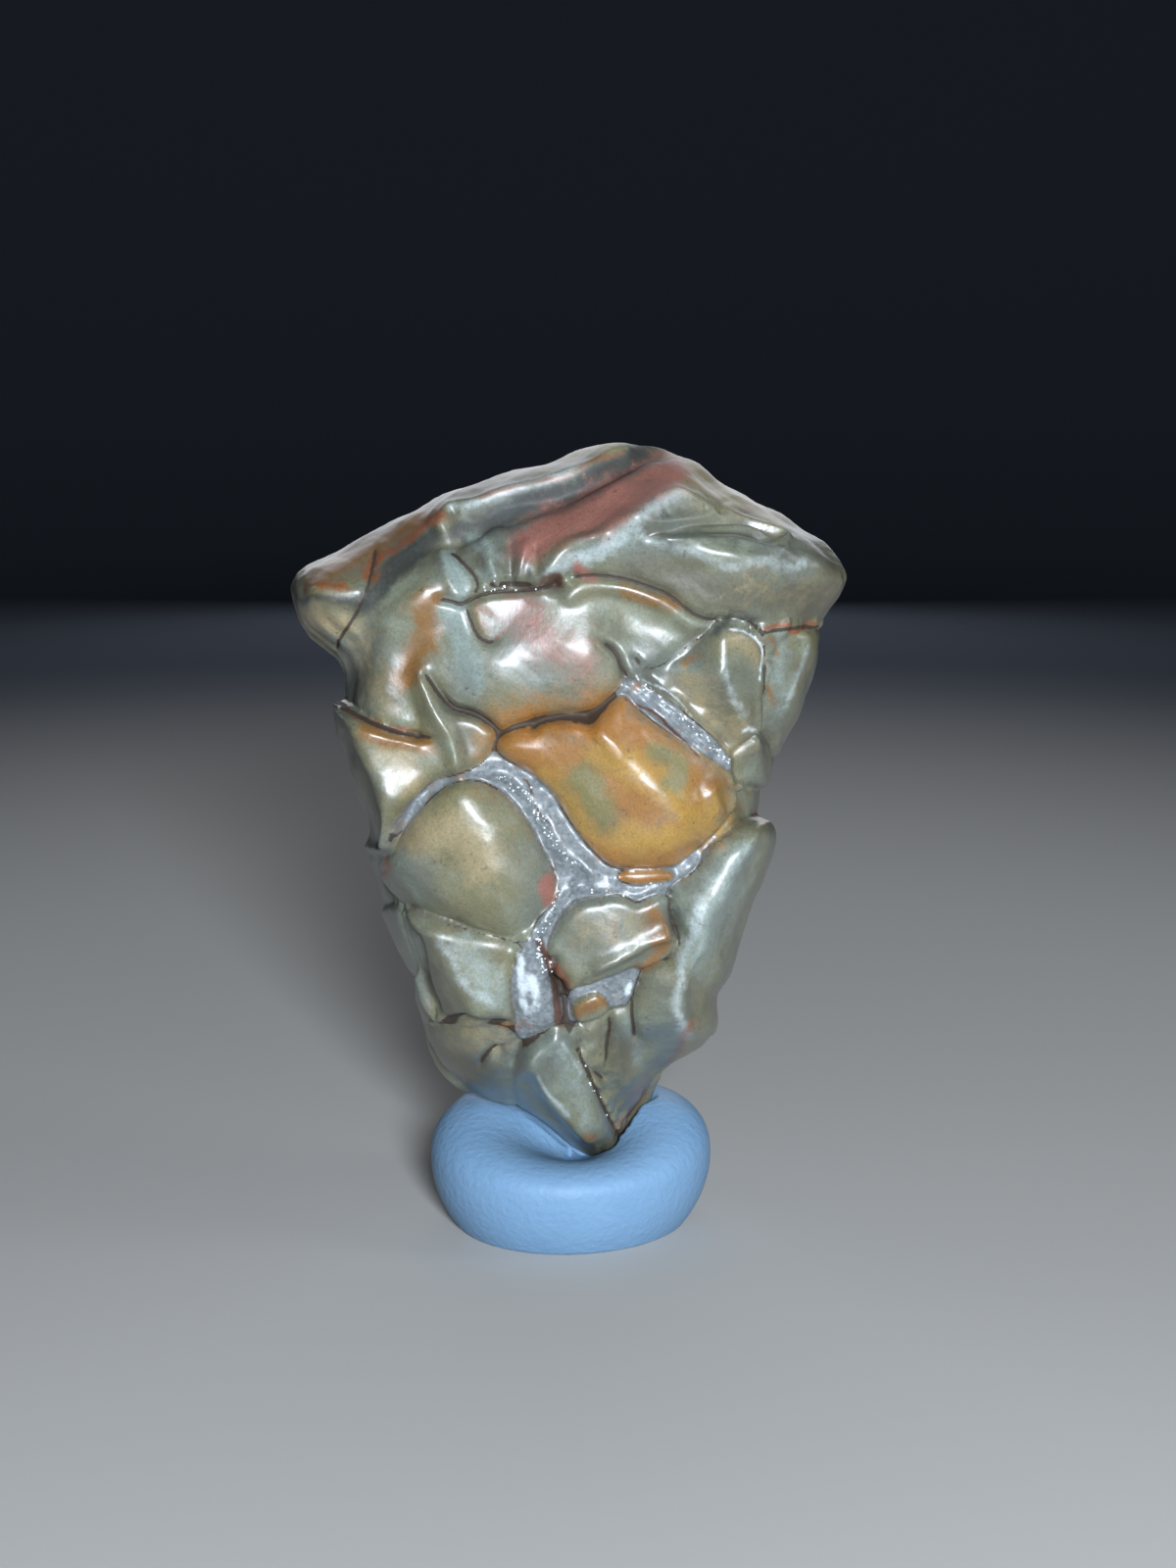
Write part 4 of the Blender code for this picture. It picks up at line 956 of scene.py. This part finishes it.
def backRelief(points, away):
    # The back's relief, quartz and cracks, and a random number for each of its lobes
    seeds = placeBackSeeds(rounded(silhouette, closed=True))
    warped = points / mm
    for axis in range(3):
        warped[:, axis] += 0.8 * waves(points, 11 * mm, 20 + axis)
    gaps = np.array([np.linalg.norm(warped - seed, axis=1) for seed in seeds])
    order = np.argsort(gaps, axis=0)
    nearest, second = order[0], order[1]
    columns = np.arange(len(points))
    spread = np.linalg.norm(seeds[nearest] - seeds[second], axis=1)
    border = (gaps[second, columns] ** 2 - gaps[nearest, columns] ** 2) / (2 * spread)
    random = np.random.default_rng(stone["backSeed"] + 1)
    lifts = random.uniform(-0.2, 0.9, len(seeds))
    tilts = random.normal(size=(len(seeds), 3)) * stone["backTilt"]
    slope = np.sum((points / mm - seeds[nearest]) * tilts[nearest], axis=1)
    wide = smoothStep(0.1, 0.8, waves(points, 20 * mm, 40))
    margin = border - 0.15 - 0.55 * wide
    rim = np.clip(margin / stone["backRim"], 0, 1)
    lobe = lifts[nearest] + np.clip(slope, -0.8, 0.8)
    lobe = np.where(lobe > 0, lobe * away, lobe)
    lobe -= stone["backDrop"] * (1 - np.sqrt(1 - (1 - rim) ** 2))
    lobe += np.minimum(margin, 0) * stone["backFlank"]
    floor = stone["seamFloor"] + 0.3 + 0.18 * waves(points, 1.6 * mm, 4)
    open_ = smoothStep(0.05, -0.12, margin)
    quartz = open_ * smoothStep(0.1, 0.4, wide)
    crack = open_ * (1 - smoothStep(0.1, 0.4, wide))
    return np.maximum(lobe, floor), quartz, crack, random.uniform(0, 1, len(seeds))[nearest]


def sculptStone(mesh):
    points = verticesOf(mesh)
    normals = normalsOf(mesh)
    forward, _ = viewAxes()
    toCamera = (view["aim"] - forward * view["distance"]) - points
    toCamera /= np.linalg.norm(toCamera, axis=1)[:, None]
    turned = np.sum(normals * toCamera, axis=1)
    front = smoothStep(-0.42, -0.05, turned)
    facing = smoothStep(-0.2, 0.45, turned)
    away = smoothStep(0.1, 0.6, -turned)
    backHeight, backQuartz, backCrack, lot = backRelief(points, away)
    # The second time round, each drawn line is met where the raised surface is seen
    drawn = points
    for _ in range(2):
        frontHeight, frontQuartz, frontCrack = frontRelief(points, toPhoto(drawn), facing)
        relief = front * frontHeight + (1 - front) * backHeight
        around = averaged(mesh, relief)
        drawn = points + normals * around[:, None] * mm
    relief += 0.12 * waves(points, 6 * mm, 11) + 0.02 * waves(points, 1.3 * mm, 12)
    softened = averaged(mesh, relief, rounds=2)
    placed = np.clip(points + normals * softened[:, None] * mm, stoneLow, stoneHigh)
    moveVertices(mesh, placed)
    quartz = front * frontQuartz + (1 - front) * backQuartz
    storeMask(mesh, "quartz", quartz)
    storeMask(mesh, "seamHeart", averaged(mesh, quartz))
    storeMask(mesh, "crack", front * frontCrack + (1 - front) * backCrack)
    # How far each place lies in a hollow; the material darkens the hollows with it as painted shade
    storeMask(mesh, "hollow", smoothStep(0.0, 0.35, around - relief))
    places = toPhoto(placed)
    storeMask(mesh, "sparkle", front * drawnStrength(places, sparkles))
    storeMask(mesh, "bare", front * drawnStrength(places, bareStone))
    for axis in range(2):
        places[:, axis] += 4 * waves(points, 5 * mm, 50 + axis)
    chance = {"amber": (0.0, 0.16), "tan": (0.3, 0.5), "slateAndPaintedShade": (0.55, 0.68), "pale": (0.7, 0.9)}
    for name, pigment in (pigments | blooms).items():
        low, high = chance.get(name, (2, 3))
        chosen = ((lot > low) & (lot < high)) * (0.55 + 0.3 * waves(points, 7 * mm, 60))
        storeMask(mesh, name, front * drawnStrength(places, pigment["strokes"]) + (1 - front) * chosen)


def averaged(mesh, values, rounds=12):
    # The values smoothed over the surface, within about half a millimetre for twelve rounds
    edges = np.empty(len(mesh.edges) * 2, np.int32)
    mesh.edges.foreach_get("vertices", edges)
    first, second = edges.reshape(-1, 2).T
    count = np.bincount(first, minlength=len(values)) + np.bincount(second, minlength=len(values))
    for _ in range(rounds):
        total = np.bincount(first, values[second], len(values))
        total += np.bincount(second, values[first], len(values))
        values = (values + total / count) / 2
    return values


def drawnStrength(places, strokes):
    # How strongly a set of drawn strokes reaches each place
    strength = np.zeros(len(places))
    for line, halfWidth, weight in strokes:
        strength = np.maximum(strength, weight * along(places, line, halfWidth))
    return strength


def makeStone():
    made = bodyMesh()
    made.name = "jasper_stone"
    print("stone: body of", len(made.data.vertices), "points")
    sculptStone(made.data)
    settle = made.modifiers.new("worn smooth", "SMOOTH")
    settle.factor = 0.4
    settle.iterations = 2
    made = applied(made)
    made.data.calc_loop_triangles()
    thin = made.modifiers.new("fewer faces", "DECIMATE")
    thin.ratio = min(1, stone["triangles"] / len(made.data.loop_triangles))
    made = applied(made)
    moveVertices(made.data, np.clip(verticesOf(made.data), stoneLow, stoneHigh))
    made.data.shade_smooth()
    print("stone: sculpted to", len(made.data.polygons), "faces")
    return made


# The stone's skin. Sizes are in millimetres.
skin = {
    "olive": "#6b684c",
    "grey": "#5c625a",
    "groundPatch": 9.0,
    "cloud": "#767e6d",
    "cloudPatch": 3.2,
    "shade": "#403d2f",
    "shadePatch": 5.5,
    "speckle": 0.2,
    "speckleStrength": 0.16,
    "speck": 0.55,
    "speckStrength": 0.55,
    "edgePatch": 0.9,
    "quartz": "#80878a",
    "quartzShade": "#5f6567",
    "quartzStain": "#8a5f3f",
    "quartzRim": "#5b574e",
    "quartzGrain": 0.3,
    "stainPatch": 1.5,
    "crack": "#30251c",
    # The colour of the painted shade in the hollows, partly old dust and wax
    "dustAndPaintedShade": "#4a4438",
    "roughness": 0.42,
    "quartzRoughness": 0.4,
    "crackRoughness": 0.8,
    "wax": 1.0,
    "quartzWax": 0.6,
    "bareWax": 0.08,
    "bareRoughness": 0.7,
    "waxRoughness": 0.37,
    "grit": 0.4,
    "gritDepth": 0.035,
    "grainDepth": 0.12,
}


def laidOver(tree, colour, layers, ragged, low, high):
    # Each layer's colour over the one below it, within its strokes and with their ragged edge
    for name, layer in layers.items():
        strength = addNode(tree, "ShaderNodeAttribute", attribute_name=name, out="Fac")
        strength = addNode(tree, "ShaderNodeMath", {0: strength, 1: ragged})
        strength = addNode(tree, "ShaderNodeMapRange",
                           {"Value": strength, "From Min": low, "From Max": high, "To Max": 0.9},
                           interpolation_type="SMOOTHSTEP")
        colour = addNode(tree, "ShaderNodeMix",
                         {0: strength, 6: colour, 7: linearColour(layer["colour"])},
                         data_type="RGBA", out=2)
    return colour


def jasperMaterial():
    # Waterworn jasper rubbed with wax: a close dull-coloured skin under a thin soft shine
    made = bpy.data.materials.new("waxed jasper and quartz")
    made.use_nodes = True
    tree = made.node_tree
    shader = tree.nodes["Principled BSDF"]
    place = addNode(tree, "ShaderNodeTexCoord", out="Object")
    mix = dict(data_type="RGBA", out=2)

    # Broad drifts of olive and grey, with paler clouds and darker shade
    drift = addNode(tree, "ShaderNodeTexNoise",
                    {"Vector": place, "Scale": 1 / (skin["groundPatch"] * mm), "Detail": 3}, out="Fac")
    drift = addNode(tree, "ShaderNodeMapRange", {"Value": drift, "From Min": 0.32, "From Max": 0.68},
                    interpolation_type="SMOOTHSTEP")
    colour = addNode(tree, "ShaderNodeMix",
                     {0: drift, 6: linearColour(skin["olive"]), 7: linearColour(skin["grey"])}, **mix)
    for name, low, high, most in (("cloud", 0.48, 0.75, 0.7), ("shade", 0.5, 0.75, 0.6)):
        patch = addNode(tree, "ShaderNodeTexNoise",
                        {"Vector": place, "Scale": 1 / (skin[name + "Patch"] * mm), "Detail": 5,
                         "Distortion": 0.4}, out="Fac")
        patch = addNode(tree, "ShaderNodeMapRange",
                        {"Value": patch, "From Min": low, "From Max": high, "To Max": most},
                        interpolation_type="SMOOTHSTEP")
        colour = addNode(tree, "ShaderNodeMix", {0: patch, 6: colour, 7: linearColour(skin[name])}, **mix)

    # The pigments, whose strokes have a ragged edge
    ragged = addNode(tree, "ShaderNodeTexNoise",
                     {"Vector": place, "Scale": 1 / (skin["edgePatch"] * mm), "Detail": 5,
                      "Roughness": 0.65}, out="Fac")
    colour = laidOver(tree, colour, pigments, ragged, 0.6, 1.4)

    # Fine speckle, drawn at the finest size that shows
    speckle = addNode(tree, "ShaderNodeTexNoise",
                      {"Vector": place, "Scale": 1 / (skin["speckle"] * mm), "Detail": 2}, out="Fac")
    half = skin["speckleStrength"]
    speckle = addNode(tree, "ShaderNodeMapRange",
                      {"Value": speckle, "From Min": 0.3, "From Max": 0.7, "To Min": 1 - half,
                       "To Max": 1 + half})
    colour = addNode(tree, "ShaderNodeVectorMath", {0: colour, 1: speckle}, operation="MULTIPLY")

    # Small dark grains scattered through the stone
    speck = addNode(tree, "ShaderNodeTexNoise",
                    {"Vector": place, "Scale": 1 / (skin["speck"] * mm), "Detail": 3,
                     "Roughness": 0.6}, out="Fac")
    speck = addNode(tree, "ShaderNodeMapRange",
                    {"Value": speck, "From Min": 0.62, "From Max": 0.72, "To Max": skin["speckStrength"]},
                    interpolation_type="SMOOTHSTEP")
    colour = addNode(tree, "ShaderNodeMix", {0: speck, 6: colour, 7: linearColour(skin["shade"])}, **mix)

    # Painted shade in the hollows: they are darkened towards a dusty brown, partly old dust and wax
    hollow = addNode(tree, "ShaderNodeAttribute", attribute_name="hollow", out="Fac")
    hollow = addNode(tree, "ShaderNodeMath", {0: hollow, 1: 0.6}, operation="MULTIPLY")
    colour = addNode(tree, "ShaderNodeMix", {0: hollow, 6: colour, 7: linearColour(skin["dustAndPaintedShade"])}, **mix)

    # Quartz in the seams: pale glassy grains, some of them stained gold-brown
    grains = tree.nodes.new("ShaderNodeTexVoronoi")
    grains.inputs["Scale"].default_value = 1 / (skin["quartzGrain"] * mm)
    tree.links.new(place, grains.inputs["Vector"])
    lot = addNode(tree, "ShaderNodeSeparateColor", {"Color": grains.outputs["Color"]}, out="Red")
    seam = addNode(tree, "ShaderNodeMix",
                   {0: lot, 6: linearColour(skin["quartzShade"]), 7: linearColour(skin["quartz"])}, **mix)
    stain = addNode(tree, "ShaderNodeTexNoise",
                    {"Vector": place, "Scale": 1 / (skin["stainPatch"] * mm), "Detail": 4}, out="Fac")
    stain = addNode(tree, "ShaderNodeMapRange",
                    {"Value": stain, "From Min": 0.58, "From Max": 0.75, "To Max": 0.7},
                    interpolation_type="SMOOTHSTEP")
    seam = addNode(tree, "ShaderNodeMix", {0: stain, 6: seam, 7: linearColour(skin["quartzStain"])}, **mix)
    heart = addNode(tree, "ShaderNodeAttribute", attribute_name="seamHeart", out="Fac")
    rim = addNode(tree, "ShaderNodeMapRange",
                  {"Value": heart, "From Min": 0.9, "From Max": 0.5, "To Max": 0.75},
                  interpolation_type="SMOOTHSTEP")
    seam = addNode(tree, "ShaderNodeMix", {0: rim, 6: seam, 7: linearColour(skin["quartzRim"])}, **mix)
    quartz = addNode(tree, "ShaderNodeAttribute", attribute_name="quartz", out="Fac")
    quartz = addNode(tree, "ShaderNodeMapRange", {"Value": quartz, "From Min": 0.35, "From Max": 0.65},
                     interpolation_type="SMOOTHSTEP")
    colour = addNode(tree, "ShaderNodeMix", {0: quartz, 6: colour, 7: seam}, **mix)
    # Frost and iron over the quartz; the frost on the bright patch is painted glare
    colour = laidOver(tree, colour, blooms, ragged, 0.7, 1.3)
    crack = addNode(tree, "ShaderNodeAttribute", attribute_name="crack", out="Fac")
    crack = addNode(tree, "ShaderNodeMapRange",
                    {"Value": crack, "From Min": 0.35, "From Max": 0.7, "To Max": 0.92},
                    interpolation_type="SMOOTHSTEP")
    colour = addNode(tree, "ShaderNodeMix", {0: crack, 6: colour, 7: linearColour(skin["crack"])}, **mix)
    tree.links.new(colour, shader.inputs["Base Color"])

    # The wax is thin on the quartz and never reached the cracks or the pitted trough near the top
    rough = addNode(tree, "ShaderNodeMix", {0: quartz, 2: skin["roughness"], 3: skin["quartzRoughness"]})
    rough = addNode(tree, "ShaderNodeMix", {0: crack, 2: rough, 3: skin["crackRoughness"]})
    bare = addNode(tree, "ShaderNodeAttribute", attribute_name="bare", out="Fac")
    rough = addNode(tree, "ShaderNodeMix", {0: bare, 2: rough, 3: skin["bareRoughness"]})
    tree.links.new(rough, shader.inputs["Roughness"])
    wax = addNode(tree, "ShaderNodeMix", {0: quartz, 2: skin["wax"], 3: skin["quartzWax"]})
    wax = addNode(tree, "ShaderNodeMix", {0: crack, 2: wax, 3: 0.0})
    wax = addNode(tree, "ShaderNodeMix", {0: bare, 2: wax, 3: skin["bareWax"]})
    tree.links.new(wax, shader.inputs["Coat Weight"])
    shader.inputs["Coat Roughness"].default_value = skin["waxRoughness"]

    # A sandy skin that breaks up the shine, and steps between the quartz grains
    grit = addNode(tree, "ShaderNodeTexNoise",
                   {"Vector": place, "Scale": 1 / (skin["grit"] * mm), "Detail": 3}, out="Fac")
    skinBump = addNode(tree, "ShaderNodeBump",
                       {"Height": grit, "Strength": 1, "Distance": skin["gritDepth"] * mm})
    step = addNode(tree, "ShaderNodeMath", {0: lot, 1: quartz}, operation="MULTIPLY")
    grainBump = addNode(tree, "ShaderNodeBump",
                        {"Height": step, "Strength": 1, "Distance": skin["grainDepth"] * mm,
                         "Normal": skinBump})
    tree.links.new(grainBump, shader.inputs["Normal"])
    return made


# Loose-standing grains of quartz along the seams: (line, half width in millimetres, strength)
sparkles = [
    ([(656, 700), (690, 728), (716, 750), (742, 778)], 0.2, 1.0),
    ([(512, 792), (534, 806), (552, 832), (568, 860), (584, 880)], 0.22, 1.0),
    ([(570, 908), (560, 935), (548, 956), (556, 990)], 0.25, 0.9),
    ([(592, 905), (620, 909), (650, 909), (680, 900)], 0.15, 0.6),
    ([(592, 1084), (606, 1108), (620, 1136)], 0.15, 0.25),
    ([(495, 602), (520, 600), (554, 602)], 0.2, 0.35),
]
grainSizes = {"width": 0.19 * mm, "density": 14e6, "seed": 5, "colour": "#d6dcdc", "roughness": 0.18}


def makeGrains(host):
    # Six-sided quartz points scattered over the stone where its sparkle mask says
    tree = bpy.data.node_groups.new("quartz grains", "GeometryNodeTree")
    sockets = {}
    for name, kind in (("Stone", "Geometry"), ("Grain width", "Float"),
                       ("Grains per square metre", "Float"), ("Seed", "Int"),
                       ("Grain material", "Material")):
        socket = tree.interface.new_socket(name, in_out="INPUT", socket_type="NodeSocket" + kind)
        sockets[name] = socket.identifier
    tree.interface.new_socket("Grains", in_out="OUTPUT", socket_type="NodeSocketGeometry")
    given = tree.nodes.new("NodeGroupInput").outputs
    sparkle = addNode(tree, "GeometryNodeInputNamedAttribute", {"Name": "sparkle"}, data_type="FLOAT")
    density = addNode(tree, "ShaderNodeMath", {0: sparkle, 1: given["Grains per square metre"]},
                      operation="MULTIPLY")
    scatter = tree.nodes.new("GeometryNodeDistributePointsOnFaces")
    tree.links.new(given["Stone"], scatter.inputs["Mesh"])
    tree.links.new(density, scatter.inputs["Density"])
    tree.links.new(given["Seed"], scatter.inputs["Seed"])
    height = addNode(tree, "ShaderNodeMath", {0: given["Grain width"], 1: 0.9}, operation="MULTIPLY")
    radius = addNode(tree, "ShaderNodeMath", {0: given["Grain width"], 1: 0.5}, operation="MULTIPLY")
    point = addNode(tree, "GeometryNodeMeshCone",
                    {"Vertices": 6, "Radius Top": 0, "Radius Bottom": radius, "Depth": height})
    tilt = addNode(tree, "FunctionNodeRandomValue",
                   {0: (-0.7, -0.7, 0), 1: (0.7, 0.7, 6.3), "Seed": given["Seed"]},
                   data_type="FLOAT_VECTOR")
    turned = addNode(tree, "FunctionNodeRotateRotation",
                     {"Rotation": scatter.outputs["Rotation"], "Rotate By": tilt}, rotation_space="LOCAL")
    size = addNode(tree, "FunctionNodeRandomValue", {2: 0.4, 3: 1.3, "Seed": given["Seed"]}, out=1)
    placed = addNode(tree, "GeometryNodeInstanceOnPoints",
                     {"Points": scatter.outputs["Points"], "Instance": point, "Rotation": turned,
                      "Scale": size})
    real = addNode(tree, "GeometryNodeRealizeInstances", {"Geometry": placed})
    done = addNode(tree, "GeometryNodeSetMaterial",
                   {"Geometry": real, "Material": given["Grain material"]})
    tree.links.new(done, tree.nodes.new("NodeGroupOutput").inputs["Grains"])

    grains = bpy.data.objects.new("quartz_grains", host.data.copy())
    bpy.context.scene.collection.objects.link(grains)
    grow = grains.modifiers.new("grow grains", "NODES")
    grow.node_group = tree
    grow[sockets["Grain width"]] = grainSizes["width"]
    grow[sockets["Grains per square metre"]] = grainSizes["density"]
    grow[sockets["Seed"]] = grainSizes["seed"]
    grow[sockets["Grain material"]] = quartzMaterial()
    grains = applied(grains)
    moveVertices(grains.data, np.clip(verticesOf(grains.data), stoneLow, stoneHigh))
    print("quartz grains:", len(grains.data.polygons), "faces")
    return grains


def quartzMaterial():
    # Milky quartz: opaque at this size, with glassy facets that glint
    made = bpy.data.materials.new("milky quartz grains")
    made.use_nodes = True
    shader = made.node_tree.nodes["Principled BSDF"]
    shader.inputs["Base Color"].default_value = linearColour(grainSizes["colour"])
    shader.inputs["Roughness"].default_value = grainSizes["roughness"]
    shader.inputs["IOR"].default_value = 1.54
    return made


# The lump of putty, in metres unless noted
putty = {
    "segments": 192,
    "rings": 144,
    "width": 0.0241,
    "depth": 0.0232,
    "centre": (-0.0001, 0.0006),
    "foot": 0.6,
    "waist": 0.0056,
    "frontHeight": 0.0086,
    "sideHeight": 0.0121,
    "dish": 0.0034,
    "restGap": 0.0003,
    "colour": "#7395b3",
    "deep": "#688aa9",
    "driftPatch": 0.004,
    "dimple": 0.0006,
    "dimpleDepth": 0.00011,
    "roughness": 0.55,
    "specular": 0.35,
}


def puttySurface(unit):
    # Each point of a ball moved to the soft lump: a flat foot, round flanks, a dished top
    ring = np.hypot(unit[:, 0], unit[:, 1])
    rise = unit[:, 2]
    turn = np.arctan2(unit[:, 1], unit[:, 0])
    towardsFront = np.clip(-np.sin(turn), 0, 1) ** 1.5
    height = putty["sideHeight"] + (putty["frontHeight"] - putty["sideHeight"]) * towardsFront
    height += 0.0002 * np.sin(3 * turn + 0.8)
    reach = ring ** 0.85 * (1 + 0.012 * np.sin(2 * turn + 0.5) + 0.01 * np.sin(3 * turn + 2.0))
    above = putty["waist"] + (height - putty["waist"]) * np.clip(rise, 0, 1) ** 0.8
    above -= putty["dish"] * np.exp(-(ring / 0.55) ** 2) * np.clip(rise, 0, 1)
    below = putty["waist"] * (1 - np.clip(-rise / putty["foot"], 0, 1) ** 1.1)
    places = np.empty_like(unit)
    places[:, 0] = putty["centre"][0] + np.cos(turn) * reach * putty["width"] / 2
    places[:, 1] = putty["centre"][1] + np.sin(turn) * reach * putty["depth"] / 2
    places[:, 2] = np.where(rise > 0, above, below)
    return places


def pressedBy(host, places):
    # The putty pushed down under the stone
    tree = BVHTree.FromPolygons([v.co for v in host.data.vertices],
                                [p.vertices for p in host.data.polygons])
    gap = putty["restGap"]
    turns = [k * math.pi / 4 for k in range(8)]
    around = [(0, 0)] + [(math.cos(a) * gap, math.sin(a) * gap) for a in turns]
    for place in places:
        if place[2] < putty["waist"] / 2:
            continue
        for stepX, stepY in around:
            under = Vector((place[0] + stepX, place[1] + stepY, -putty["width"]))
            hit = tree.ray_cast(under, Vector((0, 0, 1)))[0]
            if hit is not None:
                place[2] = min(place[2], hit.z - 1.3 * gap)
    return places


def puttyMaterial():
    # Soft blue-grey putty: dull, with the faint unevenness that fingers leave
    made = bpy.data.materials.new("blue-grey putty")
    made.use_nodes = True
    tree = made.node_tree
    shader = tree.nodes["Principled BSDF"]
    place = addNode(tree, "ShaderNodeTexCoord", out="Object")
    drift = addNode(tree, "ShaderNodeTexNoise",
                    {"Vector": place, "Scale": 1 / putty["driftPatch"], "Detail": 4}, out="Fac")
    colour = addNode(tree, "ShaderNodeMix",
                     {0: drift, 6: linearColour(putty["deep"]), 7: linearColour(putty["colour"])},
                     data_type="RGBA", out=2)
    tree.links.new(colour, shader.inputs["Base Color"])
    shader.inputs["Roughness"].default_value = putty["roughness"]
    shader.inputs["Specular IOR Level"].default_value = putty["specular"]
    dimples = addNode(tree, "ShaderNodeTexNoise",
                      {"Vector": place, "Scale": 1 / putty["dimple"], "Detail": 5}, out="Fac")
    bump = addNode(tree, "ShaderNodeBump",
                   {"Height": dimples, "Strength": 1, "Distance": putty["dimpleDepth"]})
    tree.links.new(bump, shader.inputs["Normal"])
    return made


def makePutty(host):
    bpy.ops.mesh.primitive_uv_sphere_add(segments=putty["segments"], ring_count=putty["rings"], radius=1)
    pad = bpy.context.object
    pad.name = "putty"
    moveVertices(pad.data, pressedBy(host, puttySurface(verticesOf(pad.data))))
    padLow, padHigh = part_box("putty_pad")
    moveVertices(pad.data, np.clip(verticesOf(pad.data), padLow, padHigh))
    pad.data.shade_smooth()
    print("putty: pressed round the stone's point")
    return pad


# The plain floor and the lights: azimuth and elevation in degrees, distance and size in metres
studio = {
    "floorSides": 96,
    "curveSteps": 12,
    "floorRadius": 0.45,
    "wallRadius": 0.75,
    "wallHeight": 0.5,
    "paleRadius": 0.1,
    "darkRadius": 0.36,
    "floorColour": "#b2b1ad",
    "wallColour": "#3f444c",
    "world": ("#d7dbe0", 0.015),
    "lights": {
        "key": dict(azimuth=8, elevation=16, distance=0.34, size=0.07, watts=2.2, colour="#eaf3ff"),
        "side": dict(azimuth=78, elevation=24, distance=0.36, size=0.1, watts=0.16, colour="#f4f7ff"),
        "fill": dict(azimuth=-105, elevation=28, distance=0.45, size=0.2, watts=0.08, colour="#eef3ff"),
        "rear": dict(azimuth=180, elevation=20, distance=0.42, size=0.36, watts=0.45, colour="#f6f8ff"),
    },
}


def makeFloor():
    # A flat floor, pale under the object, that curves up into a dark wall all round
    sides, steps = studio["floorSides"], studio["curveSteps"]
    bend = studio["wallRadius"] - studio["floorRadius"]
    rings = [0, studio["floorRadius"]]
    heights = [0, 0]
    for k in range(1, steps + 1):
        turn = k / steps * math.pi / 2
        rings.append(studio["floorRadius"] + math.sin(turn) * bend)
        heights.append((1 - math.cos(turn)) * bend)
    rings.append(studio["wallRadius"])
    heights.append(studio["wallHeight"])
    turns = [k * 2 * math.pi / sides for k in range(sides)]
    form = bmesh.new()
    previous = [form.verts.new((0, 0, 0))]
    for ring, height in zip(rings[1:], heights[1:]):
        row = [form.verts.new((ring * math.cos(a), ring * math.sin(a), height)) for a in turns]
        for k in range(sides):
            ends = [row[k], row[(k + 1) % sides]]
            form.faces.new([previous[0], *ends] if len(previous) == 1
                           else [previous[k], *ends, previous[(k + 1) % sides]])
        previous = row
    mesh = bpy.data.meshes.new("floor")
    form.to_mesh(mesh)
    form.free()
    mesh.shade_smooth()
    mesh.materials.append(paperMaterial())
    floor = bpy.data.objects.new("studio_floor", mesh)
    bpy.context.scene.collection.objects.link(floor)
    return floor


def paperMaterial():
    # Matt seamless paper, pale near the object and dark towards the wall
    made = bpy.data.materials.new("pale studio paper")
    made.use_nodes = True
    tree = made.node_tree
    shader = tree.nodes["Principled BSDF"]
    place = addNode(tree, "ShaderNodeTexCoord", out="Object")
    away = addNode(tree, "ShaderNodeVectorMath", {0: place}, operation="LENGTH", out="Value")
    away = addNode(tree, "ShaderNodeMapRange",
                   {"Value": away, "From Min": studio["paleRadius"], "From Max": studio["darkRadius"]},
                   interpolation_type="SMOOTHSTEP")
    colour = addNode(tree, "ShaderNodeMix",
                     {0: away, 6: linearColour(studio["floorColour"]),
                      7: linearColour(studio["wallColour"])}, data_type="RGBA", out=2)
    tree.links.new(colour, shader.inputs["Base Color"])
    shader.inputs["Roughness"].default_value = 1
    shader.inputs["Specular IOR Level"].default_value = 0
    return made


def makeLights():
    middle = (cadLow + cadHigh) / 2
    for name, light in studio["lights"].items():
        turn, rise = math.radians(light["azimuth"]), math.radians(light["elevation"])
        flat = math.cos(rise)
        outward = Vector((math.sin(turn) * flat, -math.cos(turn) * flat, math.sin(rise)))
        data = bpy.data.lights.new(name, "AREA")
        data.shape = "DISK"
        data.size = light["size"]
        data.energy = light["watts"]
        data.color = linearColour(light["colour"])[:3]
        lamp = bpy.data.objects.new(name, data)
        lamp.location = Vector(middle) + outward * light["distance"]
        lamp.rotation_euler = outward.to_track_quat("Z", "Y").to_euler()
        lamp.visible_camera = False
        bpy.context.scene.collection.objects.link(lamp)
    world = bpy.data.worlds.new("dim room")
    world.use_nodes = True
    sky = world.node_tree.nodes["Background"]
    sky.inputs["Color"].default_value = linearColour(studio["world"][0])
    sky.inputs["Strength"].default_value = studio["world"][1]
    bpy.context.scene.world = world


def makeCamera():
    # Long edge of the picture across the sensor's width, so the lens follows from the focal length
    data = bpy.data.cameras.new("camera")
    data.sensor_width = view["sensor"]
    data.lens = view["focalPixels"] / view["pictureHeight"] * view["sensor"]
    data.clip_start = 0.01
    camera = bpy.data.objects.new("camera", data)
    forward, _ = viewAxes()
    camera.location = view["aim"] - forward * view["distance"]
    camera.rotation_euler = (math.pi / 2 - view["pitch"], 0, 0)
    bpy.context.scene.collection.objects.link(camera)
    bpy.context.scene.camera = camera


jasper = makeStone()
jasper.data.materials.clear()
jasper.data.materials.append(jasperMaterial())
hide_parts("stone")
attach(jasper, "root")

grains = makeGrains(jasper)
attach(grains, "root")

pad = makePutty(jasper)
pad.data.materials.append(puttyMaterial())
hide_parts("putty_pad")
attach(pad, "root")

makeFloor()
makeLights()
makeCamera()
bpy.context.scene.view_settings.view_transform = "Standard"
